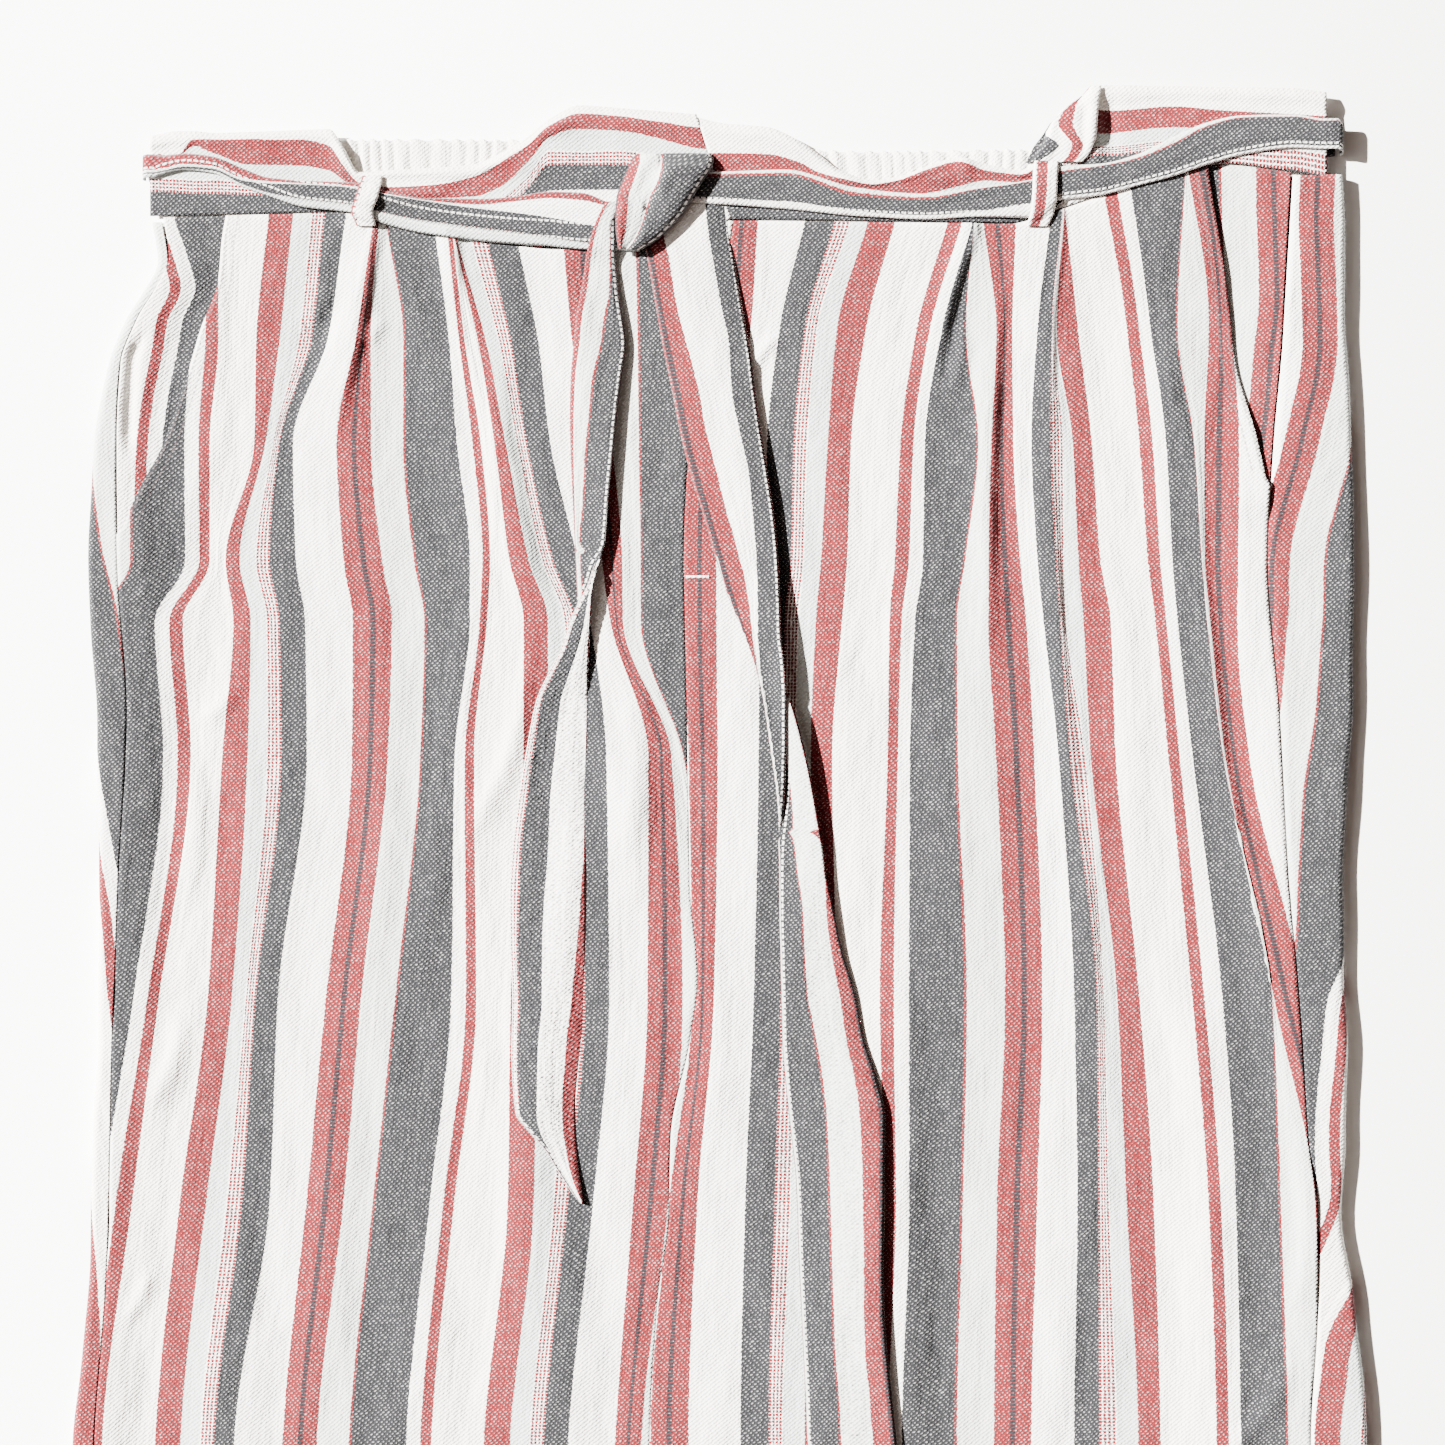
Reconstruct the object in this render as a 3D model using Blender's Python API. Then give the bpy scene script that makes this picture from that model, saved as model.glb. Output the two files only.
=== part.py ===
"""Lounge pants of striped cotton, lying flat on their back, with the belt tied in front.

The origin is on the floor under the middle of the garment. +Y runs up to the waist, and +Z
is up, through the front. Right and left are the wearer's, so the right leg lies at -X.
Tables are in millimetres.
"""
import math
from collections import namedtuple

import bmesh
import bpy
from mathutils import Vector
from mathutils.bvhtree import BVHTree

# Cloth and the gaps between its layers, in millimetres
MM = 0.001
WALL = 1.2
FACING_WALL = 1.0
BAND_WALL = 1.4
BELT_WALL = 1.6
SEAM_GAP = 0.3
WAIST_GAP = 0.8
HIDDEN_GAP = 1.6
LAY_GAP = 0.4

# Heights of the layers above the floor
FRONT_TOP = 2.9
WAIST_TOP = 6.2
SIDE_TOP = 5.8
BELT_ROOM = 2.0
BACK_BAND_MID = 2.65
GATHERS = 76
GATHER_HEIGHT = 0.25

# Levels of the waist and of the legs, from the middle of the garment
WAIST_LEVEL = 440
WAIST_START = 392
LEG_LEVELS = (378, 362, 344, 326, 306, 284, 260, 234, 204, 172, 138, 106, 72, 36, -5, -63,
              -160, -270, -385, -500)
WAIST_FRACTIONS = (0.0, 0.15, 0.4, 0.7, 1.0)

# Outline of the body and legs: outer edges, side seams on the front, and the centre or inseam
Body = namedtuple("Body", "y out_r seam_r centre gap seam_l out_l")
BODY = (
    Body(470, -236.7, -232.4, 8.0, 0.3, 238.0, 256.0),
    Body(447, -236.7, -232.4, 6.5, 0.3, 238.0, 257.5),
    Body(425, -233.8, -229.4, 3.0, 0.3, 236.5, 260.0),
    Body(414, -239.2, -234.8, 0.8, 0.3, 235.5, 260.0),
    Body(402, -247.1, -242.7, -1.5, 0.3, 234.5, 260.0),
    Body(385, -254.6, -249.4, -6.5, 0.3, 233.0, 261.0),
    Body(352, -260.0, -251.0, -12.6, 0.3, 230.0, 263.0),
    Body(303, -262.9, -250.5, -15.0, 0.3, 227.5, 263.8),
    Body(240, -259.5, -246.5, -13.7, 0.3, 232.5, 263.0),
    Body(170, -258.3, -250.0, -12.6, 0.3, 236.3, 259.2),
    Body(130, -258.3, -251.4, -9.2, 0.3, 240.0, 259.8),
    Body(103, -258.8, -252.6, -12.5, 0.3, 242.0, 260.8),
    Body(63, -260.8, -253.4, -20.4, 0.3, 244.5, 260.4),
    Body(30, -261.7, -254.0, -21.2, 0.3, 248.5, 258.5),
    Body(-5, -263.0, -255.6, -25.8, 0.3, 248.5, 264.0),
    Body(-63, -269.2, -260.0, -29.2, 0.5, 245.5, 269.2),
    Body(-280, -274.0, -264.0, -24.0, 6.0, 254.0, 274.0),
    Body(-500, -277.0, -268.0, -18.0, 14.0, 264.0, 277.0),
)

# The waist seam, the top of the front band, and the back band
Waist = namedtuple("Waist", "x seam band_top")
WAIST = (
    Waist(-236.7, 445.8, 480.0),
    Waist(-205.8, 446.7, 481.5),
    Waist(-175.0, 447.5, 481.7),
    Waist(-160.0, 447.9, 481.5),
    Waist(-147.0, 446.5, 466.0),
    Waist(-134.0, 444.0, 458.8),
    Waist(-118.0, 440.0, 463.8),
    Waist(-102.0, 436.2, 466.0),
    Waist(-89.0, 434.6, 473.3),
    Waist(-66.7, 432.6, 488.0),
    Waist(-40.0, 434.0, 491.7),
    Waist(-9.6, 442.0, 487.9),
    Waist(6.0, 444.6, 483.8),
    Waist(32.9, 444.4, 477.0),
    Waist(50.0, 444.2, 464.0),
    Waist(66.0, 444.0, 459.0),
    Waist(99.0, 443.6, 466.0),
    Waist(120.8, 443.3, 463.0),
    Waist(131.0, 445.5, 468.0),
    Waist(141.3, 449.0, 487.9),
    Waist(156.0, 454.0, 499.8),
    Waist(180.0, 461.0, 500.0),
    Waist(207.9, 468.0, 499.8),
    Waist(234.6, 465.0, 499.2),
    Waist(252.1, 461.7, 496.7),
)
CENTRE_LOW = 5.0
CENTRE_HIGH = -9.6
CENTRE_MIDDLE = 0.5 * (CENTRE_LOW + CENTRE_HIGH)
BackBand = namedtuple("BackBand", "x low high")
BACK_BAND = (
    BackBand(-234.0, 445.0, 477.0),
    BackBand(-130.0, 446.0, 478.0),
    BackBand(0.0, 445.0, 476.0),
    BackBand(60.0, 444.0, 473.0),
    BackBand(130.0, 447.0, 474.0),
    BackBand(180.0, 457.0, 484.0),
    BackBand(250.0, 460.5, 494.0),
)

# Edges of the slant pockets, from the waist seam to the side seam
Pocket = namedtuple("Pocket", "y right left")
POCKET = (
    Pocket(466, -204.6, 197.9),
    Pocket(447, -204.6, 201.3),
    Pocket(431, -207.1, 205.0),
    Pocket(416, -208.8, 209.0),
    Pocket(398, -216.3, 212.6),
    Pocket(384, -220.6, 214.5),
    Pocket(352, -231.3, 223.5),
    Pocket(332, -241.5, 227.2),
    Pocket(313, -249.6, 227.3),
)
POCKET_END_RIGHT = 318
POCKET_END_LEFT = 338
FACING_HIDDEN = 15
FACING_RELIEF = 34
WIDEST_COLUMN = 21

# Stripe edges that the pleats and folds follow down each front
RightLines = namedtuple("RightLines", "y r1 w1 rbr gw w2 w3b lgb w1b rbrb")
RIGHT_LINES = (
    RightLines(439, -187.5, -155.5, -143.8, -141.7, -118.3, -110.8, -109.2, -83.8, -65.0),
    RightLines(395, -192.9, -163.3, -151.3, -145.4, -112.9, -106.3, -97.5, -75.8, -61.7),
    RightLines(352, -193.8, -177.9, -159.6, -145.4, -109.6, -99.6, -89.2, -70.8, -55.0),
    RightLines(303, -205.8, -176.7, -156.7, -140.8, -104.2, -95.8, -79.6, -59.2, -49.2),
    RightLines(278, -202.5, -172.9, -152.9, -136.7, -104.2, -97.1, -71.7, -54.2, -45.8),
    RightLines(222, -207.1, -172.1, -153.3, -138.3, -110.4, -102.5, -72.0, -47.5, -30.0),
    RightLines(120, -213.3, -184.2, -164.2, -149.6, -112.1, -101.7, -76.3, -46.3, -30.4),
    RightLines(37, -224.6, -187.5, -172.1, -156.7, -120.8, -110.8, -77.5, -52.9, -36.3),
    RightLines(-63, -235.0, -202.1, -182.1, -167.9, -130.8, -120.4, -87.5, -63.3, -43.8),
    RightLines(-500, -248.0, -212.5, -196.7, -182.0, -145.4, -135.0, -103.0, -78.3, -62.5),
)
LeftLines = namedtuple("LeftLines", "y w1 tr rn dw gw rbr2 dgb trb r1b rnb gwb rbrc")
LEFT_LINES = (
    LeftLines(439, 15.8, 47.5, 94.6, 103.4, 105.4, 109.6, 137.5, 142.1, 143.9, 160.0, 191.0, 194.6),
    LeftLines(399, 12.9, 35.4, 82.1, 92.5, 102.5, 115.0, 132.1, 137.9, 140.0, 169.2, 190.4, 203.3),
    LeftLines(353, 0.8, 30.8, 75.4, 85.4, 107.5, 112.9, 129.6, 137.5, 146.7, 174.6, 197.1, 201.3),
    LeftLines(303, -1.3, 29.6, 72.9, 84.6, 102.1, 111.7, 132.1, 139.6, 149.2, 178.3, 200.4, 203.0),
    LeftLines(278, -1.3, 27.1, 70.8, 81.3, 98.8, 111.7, 134.6, 141.3, 151.3, 181.3, 202.5, 205.0),
    LeftLines(222, -0.8, 26.7, 70.0, 79.2, 99.2, 115.0, 140.8, 145.4, 154.2, 186.7, 209.2, 211.8),
    LeftLines(120, -2.5, 25.4, 66.7, 78.8, 102.9, 118.8, 147.5, 156.7, 165.4, 196.7, 230.0, 232.5),
    LeftLines(37, -9.2, 22.9, 68.8, 78.8, 101.3, 115.4, 148.8, 157.5, 169.2, 203.3, 233.3, 244.0),
    LeftLines(-63, -12.9, 20.4, 65.0, 75.8, 98.8, 114.2, 147.5, 157.9, 174.2, 206.7, 230.0, 239.0),
    LeftLines(-500, 2.0, 28.3, 74.6, 85.0, 107.5, 121.7, 152.1, 162.5, 176.7, 208.8, 241.7, 255.8),
)
LEAST_COLUMN = 1.6

# Folds that run down the fronts: a soft slope up to the line, then a steep drop beyond it
Fold = namedtuple("Fold", "side line top bottom height soft steep at_top")
FOLDS = (
    Fold("right", "rbr", 450, 340, 3.6, 15, 1.6, 0.5),
    Fold("right", "w3b", 450, 405, 2.4, 12, 1.6, 0.5),
    Fold("right", "lgb", 405, 245, 2.6, 16, 3.0, 0.0),
    Fold("right", "gw", 300, 60, 1.2, 14, 14, 0.0),
    Fold("right", "w1", 20, -160, 1.6, 20, 20, 0.0),
    Fold("right", "lgb", 150, -120, 1.3, 18, 14, 0.0),
    Fold("left", "dw", 450, 370, 2.6, 12, 1.6, 0.5),
    Fold("left", "rbr2", 425, 230, 2.8, 10, 2.0, 0.0),
    Fold("left", "trb", 450, 50, 4.2, 14, 1.8, 0.5),
    Fold("left", "gwb", 390, 90, 3.2, 13, 2.2, 0.0),
    Fold("left", "rbrc", 62, -20, 3.2, 10, 5.0, 0.0),
    Fold("left", "dw", 200, -150, 1.4, 20, 16, 0.0),
    Fold("left", "rnb", 60, -200, 1.8, 16, 16, 0.0),
)

# The belt: edges of each stretch, with the height each edge gains where the strip turns over
Run = namedtuple("Run", "x low high")
RUN_RIGHT = (
    Run(-218.8, 457.0, 471.7),
    Run(-195.0, 453.0, 465.5),
    Run(-162.5, 451.5, 461.5),
    Run(-152.0, 449.5, 459.5),
    Run(-139.6, 444.5, 455.8),
    Run(-102.5, 437.5, 450.8),
    Run(-66.7, 432.8, 453.5),
    Run(-48.0, 433.0, 455.0),
    Run(-37.0, 437.0, 457.0),
)
RUN_LEFT = (
    Run(-12.0, 453.5, 467.0),
    Run(8.0, 451.5, 464.0),
    Run(33.0, 447.7, 459.6),
    Run(79.0, 443.6, 453.6),
    Run(108.0, 445.4, 458.3),
    Run(129.6, 446.4, 461.0),
    Run(145.0, 452.0, 463.5),
    Run(170.8, 458.8, 469.0),
    Run(193.0, 466.7, 476.5),
    Run(215.0, 472.8, 482.5),
    Run(238.0, 475.0, 484.5),
)
RIGHT_TURN = (461.0, 470.6)
LEFT_TURN = (471.5, 480.0)
BELT_BACK = (
    Run(-236.6, 461.0, 470.6),
    Run(-190.0, 452.0, 472.0),
    Run(0.0, 450.0, 472.0),
    Run(150.0, 455.0, 474.0),
    Run(210.0, 466.0, 480.0),
    Run(256.0, 471.5, 480.0),
)
Tail = namedtuple("Tail", "y a b lift_a lift_b")
TAIL_RIGHT = (
    Tail(428, -55.0, -42.0, 0.0, 0.0),
    Tail(419, -56.7, -41.3, 0.0, 0.0),
    Tail(392, -60.4, -39.6, 0.0, 0.0),
    Tail(374, -61.3, -40.4, 0.0, 0.0),
    Tail(353, -65.4, -45.0, 0.0, 0.0),
    Tail(328, -67.5, -48.3, 0.0, 0.0),
    Tail(300, -67.5, -51.3, 1.5, 0.0),
    Tail(288, -65.0, -55.0, 3.5, 0.0),
    Tail(279, -60.0, -61.5, 5.0, 0.0),
    Tail(269, -56.0, -67.5, 3.5, 0.0),
    Tail(257, -54.8, -71.3, 1.5, 0.0),
    Tail(238, -54.2, -77.5, 0.0, 0.0),
    Tail(195, -55.4, -83.3, 0.0, 0.0),
    Tail(142, -58.3, -87.5, 0.0, 0.0),
    Tail(103, -63.8, -87.5, 0.0, 0.0),
    Tail(77, -62.5, -86.3, 0.0, 0.0),
    Tail(60, -60.0, -77.0, 0.0, 0.0),
    Tail(38, -57.0, -61.0, 0.0, 0.0),
)
TAIL_LEFT = (
    Tail(431, -29.0, 1.0, 0.0, 0.0),
    Tail(400, -24.0, 9.0, 0.0, 0.0),
    Tail(370, -17.5, 15.8, 0.0, 0.0),
    Tail(312, -2.5, 22.9, 0.0, 0.0),
    Tail(278, 8.3, 25.8, 0.0, 0.0),
    Tail(245, 14.6, 28.3, 1.5, 0.0),
    Tail(215, 21.0, 29.4, 4.0, 0.0),
    Tail(195, 26.8, 28.6, 5.5, 0.0),
    Tail(180, 32.0, 25.6, 4.0, 0.0),
    Tail(162, 39.0, 25.4, 1.5, 0.0),
    Tail(150, 46.0, 26.3, 0.0, 0.0),
    Tail(120, 58.3, 27.5, 0.0, 0.0),
    Tail(37, 68.8, 33.3, 0.0, 0.0),
    Tail(-63, 74.2, 35.4, 0.0, 0.0),
    Tail(-75, 74.6, 52.0, 0.0, 0.0),
)
Knot = namedtuple("Knot", "y left right height")
KNOT = (
    Knot(471.5, -35.4, -2.9, 2.4),
    Knot(467.0, -38.6, -5.0, 5.6),
    Knot(460.0, -41.4, -8.0, 7.6),
    Knot(452.0, -43.0, -12.6, 8.2),
    Knot(444.0, -43.4, -18.3, 7.2),
    Knot(436.5, -43.3, -27.0, 5.2),
    Knot(431.8, -42.0, -33.3, 2.2),
)
KNOT_FLOOR = 0.35
Loop = namedtuple("Loop", "x y half_width")
LOOP_RIGHT = (
    Loop(-143.5, 464.0, 4.6),
    Loop(-145.5, 459.5, 4.8),
    Loop(-148.0, 453.0, 4.8),
    Loop(-149.5, 447.0, 4.8),
    Loop(-146.5, 441.8, 4.6),
)
LOOP_LEFT = (
    Loop(135.4, 467.5, 5.0),
    Loop(135.0, 462.0, 5.0),
    Loop(134.6, 454.0, 5.0),
    Loop(134.0, 446.0, 5.0),
    Loop(132.6, 440.5, 4.8),
)
REACH = 2.4
KNOT_REACH = 6.5

# Colours, from the photo
WHITE = (0.86, 0.84, 0.80)
RED = (0.66, 0.16, 0.15)
GREY = (0.16, 0.16, 0.17)
CREAM = (0.88, 0.84, 0.76)


def ease(low, high, value):
    """Smooth step from 0 at low to 1 at high."""
    share = (value - low) / (high - low)
    share = min(max(share, 0.0), 1.0)
    return share * share * (3 - 2 * share)


def read(rows, name, at, key="y"):
    """A named column of a table, between its rows, on a curve that never overshoots them."""
    ordered = sorted(rows, key=lambda row: getattr(row, key))
    keys = [getattr(row, key) for row in ordered]
    values = [getattr(row, name) for row in ordered]
    if at <= keys[0]:
        return values[0]
    if at >= keys[-1]:
        return values[-1]
    slopes = [(values[i + 1] - values[i]) / (keys[i + 1] - keys[i]) for i in range(len(keys) - 1)]
    tangents = [slopes[0]]
    for before, after in zip(slopes, slopes[1:]):
        turning = before * after <= 0
        tangents.append(0.0 if turning else 2 * before * after / (before + after))
    tangents.append(slopes[-1])
    i = max(index for index in range(len(keys) - 1) if keys[index] <= at)
    width = keys[i + 1] - keys[i]
    t = (at - keys[i]) / width
    start = (1 + 2 * t) * (1 - t) ** 2 * values[i] + t * (1 - t) ** 2 * width * tangents[i]
    end = t * t * (3 - 2 * t) * values[i + 1] + t * t * (t - 1) * width * tangents[i + 1]
    return start + end


def material(name, colour):
    """Matt woven cotton."""
    cloth = bpy.data.materials.new(name)
    cloth.use_nodes = True
    shader = cloth.node_tree.nodes["Principled BSDF"]
    shader.inputs["Base Color"].default_value = (*colour, 1.0)
    shader.inputs["Roughness"].default_value = 0.85
    shader.inputs["Metallic"].default_value = 0.0
    return cloth


def finish(name, mesh, colour):
    """Link a mesh as a smooth-shaded piece with its own material."""
    piece = bpy.data.objects.new(name, mesh)
    bpy.context.scene.collection.objects.link(piece)
    mesh.materials.append(material(name + "_cloth", colour))
    mesh.shade_smooth()
    return piece


def grid_faces(bm, rows):
    """Faces between neighbouring rows of vertices."""
    for near, far in zip(rows, rows[1:]):
        for i in range(len(near) - 1):
            bm.faces.new((near[i], near[i + 1], far[i + 1], far[i]))


def cloth(name, rows, wall, colour, outward, offset=-1.0):
    """A wall of cloth from rows of points, whose outer side looks the given way at its middle."""
    bm = bmesh.new()
    placed = [[bm.verts.new(Vector(point) * MM) for point in row] for row in rows]
    grid_faces(bm, placed)
    bm.normal_update()
    bm.faces.ensure_lookup_table()
    middle = max(bm.faces, key=lambda face: abs(face.normal.dot(Vector(outward))))
    if middle.normal.dot(Vector(outward)) < 0:
        bmesh.ops.reverse_faces(bm, faces=bm.faces[:])
    mesh = bpy.data.meshes.new(name)
    bm.to_mesh(mesh)
    bm.free()
    piece = finish(name, mesh, colour)
    thickness = piece.modifiers.new("Wall", "SOLIDIFY")
    thickness.thickness = wall * MM
    thickness.offset = offset
    thickness.use_rim = True
    return piece


def seam_at(x):
    """Level of the waist seam."""
    return read(WAIST, "seam", x, "x")


def waist_share(y):
    """How far a point is up the rise towards the waist band, from 0 to 1."""
    return ease(WAIST_START, WAIST_LEVEL, y)


def back_floor(y):
    """Underside of the back, which lifts over the belt behind the waist."""
    return BELT_ROOM * ease(410, WAIST_LEVEL, y)


def side_rise(flat, top, distance):
    """Height of cloth that climbs to the side seam over the last 26 mm."""
    return flat + (top - flat) * (1 - ease(0, 26, distance))


def side_distance(side, x, y):
    """Distance in from the side seam."""
    if side == "right":
        return x - read(BODY, "seam_r", y)
    return read(BODY, "seam_l", y) - x


def side_top(y):
    """Top of the rolled side."""
    return SIDE_TOP + (WAIST_TOP - SIDE_TOP) * waist_share(y)


def facing_height(side, x, y):
    """Top of a pocket facing, which lies on the back under the front's slant edge."""
    flat = back_floor(y) + WALL + LAY_GAP + FACING_WALL + 0.1 * waist_share(y)
    return side_rise(flat, side_top(y), side_distance(side, x, y))


def fold_height(side, lines, x, y):
    """Height that the folds add at a point of a front."""
    total = 0.0
    for fold in FOLDS:
        if fold.side != side or not fold.bottom < y:
            continue
        line = read(lines, fold.line, y)
        length = fold.top - fold.bottom
        fade = ease(fold.bottom, fold.bottom + 0.45 * length, y)
        start = 1 - (1 - fold.at_top) * ease(fold.top - 0.3 * length, fold.top, y)
        if x <= line:
            across = ease(line - fold.soft, line, x)
        else:
            across = 1 - ease(line, line + fold.steep, x)
        total += fold.height * fade * start * across
    return total


def front_height(side, lines, x, y):
    """Top of a front: lying on the back, over the facing at the pocket, with its folds."""
    flat = FRONT_TOP + (WAIST_TOP - FRONT_TOP) * waist_share(y)
    distance = side_distance(side, x, y)
    height = side_rise(flat, side_top(y), distance)
    edge = read(POCKET, side, y)
    inward = x - edge if side == "right" else edge - x
    end = POCKET_END_RIGHT if side == "right" else POCKET_END_LEFT
    beside = 1 - ease(FACING_HIDDEN + 4, FACING_RELIEF + 4, inward)
    near_pocket = beside * ease(end - 24, end - 8, y)
    over_facing = facing_height(side, x, y) + LAY_GAP + WALL + 0.5
    height += near_pocket * max(0.0, over_facing - height)
    return height + fold_height(side, lines, x, y) * (1 - near_pocket * 0.6)


def spread(columns, left, right):
    """Columns kept in order between a panel's two edges, no closer than the least spacing."""
    kept = [left]
    for x in columns:
        kept.append(max(x, kept[-1] + LEAST_COLUMN))
    kept.append(right)
    for i in range(len(kept) - 2, 0, -1):
        kept[i] = min(kept[i], kept[i + 1] - LEAST_COLUMN)
    return kept


def levels_down(last):
    """Levels of a panel's rows: shares of the curved waist stretch, then fixed levels."""
    levels = []
    for share in WAIST_FRACTIONS:
        levels.append((WAIST_LEVEL + (WAIST_START - WAIST_LEVEL) * share, share))
    levels += [(level, None) for level in LEG_LEVELS if level > last]
    return levels + [(last, None)]


def placed_level(level, share, top):
    """Level of a row's point: fixed, or a share of the way down from the panel's top edge."""
    if share is None:
        return level
    return top + (WAIST_START - top) * share


def front_columns(side, lines, level):
    """Edges and fold lines across a front at one level."""
    columns = [read(lines, field, level) for field in lines[0]._fields[1:]]
    middle = read(BODY, "centre", level)
    gap = read(BODY, "gap", level) / 2
    if side == "right":
        edge = read(BODY, "seam_r", level)
        if level > POCKET_END_RIGHT - 2:
            edge = max(edge, read(POCKET, "right", level))
        return spread(columns, edge + SEAM_GAP / 2, middle - gap)
    edge = read(BODY, "seam_l", level)
    if level > POCKET_END_LEFT - 2:
        edge = min(edge, read(POCKET, "left", level))
    return spread(columns, middle + gap, edge - SEAM_GAP / 2)


def front(name, side, lines, colour):
    """A front leg: its edge at the pocket and side seam, its folds, and the centre seam."""
    levels = levels_down(LEG_LEVELS[-1])
    spots = [front_columns(side, lines, level) for level, _ in levels]
    widest = [max(row[i + 1] - row[i] for row in spots) for i in range(len(spots[0]) - 1)]
    parts = [math.ceil(width / WIDEST_COLUMN) for width in widest]
    rows = []
    for (level, share), columns in zip(levels, spots):
        row = []
        for i, count in enumerate(parts):
            step = (columns[i + 1] - columns[i]) / count
            row += [columns[i] + step * k for k in range(count)]
        row.append(columns[-1])
        placed = []
        for x in row:
            y = placed_level(level, share, seam_at(x) - WAIST_GAP)
            placed.append((x, y, front_height(side, lines, x, min(y, WAIST_LEVEL))))
        rows.append(placed)
    return cloth(name, rows, WALL, colour, (0, 0, 1))


def back(name, side, colour):
    """A back leg, flat on the floor, that rolls round the side to the seam on the front."""
    rows = []
    sign = -1 if side == "right" else 1
    for nominal, share in levels_down(LEG_LEVELS[-1]):
        out = read(BODY, "out_r" if side == "right" else "out_l", nominal)
        seam = read(BODY, "seam_r" if side == "right" else "seam_l", nominal)
        inner = read(BODY, "centre", nominal) + sign * read(BODY, "gap", nominal) / 2
        low = back_floor(nominal)
        top = side_top(nominal)
        radius = (top - low) / 2
        centre = out - sign * radius
        points = [(inner + (centre - inner) * i / 6, low) for i in range(6)]
        for step in range(6):
            turn = math.pi * (step / 5 - 0.5)
            points.append((centre + sign * radius * math.cos(turn), low + radius + radius * math.sin(turn)))
        end = seam + sign * SEAM_GAP / 2
        points.append((end, top))
        row = []
        for x, z in points:
            y = placed_level(nominal, share, read(BACK_BAND, "low", x, "x") - HIDDEN_GAP)
            row.append((x, y, z))
        rows.append(row)
    return cloth(name, rows, WALL, colour, (0, 0, -1))


def facing(name, side, end, colour):
    """The striped piece inside a slant pocket, from under the front's edge to the side seam."""
    sign = -1 if side == "right" else 1
    rows = []
    for nominal, share in levels_down(end):
        edge = read(POCKET, side, nominal) - sign * FACING_HIDDEN
        seam = read(BODY, "seam_r" if side == "right" else "seam_l", nominal) - sign * WAIST_GAP
        row = []
        for k in range(7):
            x = edge + (seam - edge) * k / 6
            y = placed_level(nominal, share, seam_at(x) - WAIST_GAP)
            row.append((x, y, facing_height(side, x, min(y, WAIST_LEVEL))))
        rows.append(row)
    return cloth(name, rows, FACING_WALL, colour, (0, 0, 1))


def front_band(name, spots, colour):
    """One half of the front waistband, from the waist seam up to its soft top edge."""
    rows = []
    for fraction in (0.0, 0.3, 0.65, 1.0):
        row = []
        for x in spots:
            lean = CENTRE_LOW + (CENTRE_HIGH - CENTRE_LOW) * fraction - CENTRE_MIDDLE
            shift = lean * (1 - ease(0, 30, abs(x - CENTRE_MIDDLE)))
            low = seam_at(x + shift) + SEAM_GAP / 2
            high = read(WAIST, "band_top", x + shift, "x")
            y = low + (high - low) * fraction
            overhang = ease(478, 496, y)
            z = WAIST_TOP - 0.9 * overhang
            row.append((x + shift, y, z))
        rows.append(row)
    return cloth(name, rows, BAND_WALL, colour, (0, 0, 1))


def band_spots(start, end):
    """Table columns of the waist between two places, with both ends."""
    inside = [row.x for row in WAIST if start + 4 < row.x < end - 4]
    spots = [start] + inside + [end]
    middles = [0.5 * (a + b) for a, b in zip(spots, spots[1:])]
    return sorted(spots + middles)


def back_band(name, colour):
    """The elastic back band, rippled by its gathers."""
    count = 2 * GATHERS
    left, right = BACK_BAND[0].x, BACK_BAND[-1].x
    rows = []
    for fraction in (0.0, 1.0):
        row = []
        for i in range(count + 1):
            x = left + (right - left) * i / count
            low = read(BACK_BAND, "low", x, "x")
            high = read(BACK_BAND, "high", x, "x")
            ripple = GATHER_HEIGHT if i % 2 else -GATHER_HEIGHT
            row.append((x, low + (high - low) * fraction, BACK_BAND_MID + ripple))
        rows.append(row)
    return cloth(name, rows, WALL, colour, (0, 0, 1), offset=0.0)


def trees(pieces):
    """Search trees of finished pieces, for laying cloth on them."""
    bpy.context.view_layer.update()
    scene = bpy.context.evaluated_depsgraph_get()
    return [BVHTree.FromObject(piece, scene) for piece in pieces]


def rest_height(supports, x, y, reach=REACH):
    """Highest point in millimetres of the pieces below a spot and just round it."""
    highest = 0.0
    spots = [(0.0, 0.0)]
    for ring in (0.5 * reach, reach):
        spots += [(ring * math.cos(k * math.pi / 4), ring * math.sin(k * math.pi / 4)) for k in range(8)]
    for dx, dy in spots:
        above = Vector(((x + dx) * MM, (y + dy) * MM, 1.0))
        for tree in supports:
            hit = tree.ray_cast(above, Vector((0, 0, -1)))
            if hit[0] is not None:
                highest = max(highest, hit[0].z / MM)
    return highest


def smooth_rows(heights, rounds=2):
    """Raise the low places of a strip's heights towards their neighbours, never below its rest."""
    for _ in range(rounds):
        before = [list(row) for row in heights]
        for i in range(1, len(heights) - 1):
            for k in range(len(heights[i])):
                mean = 0.5 * (before[i - 1][k] + before[i + 1][k])
                heights[i][k] = max(before[i][k], mean)
    return heights


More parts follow.
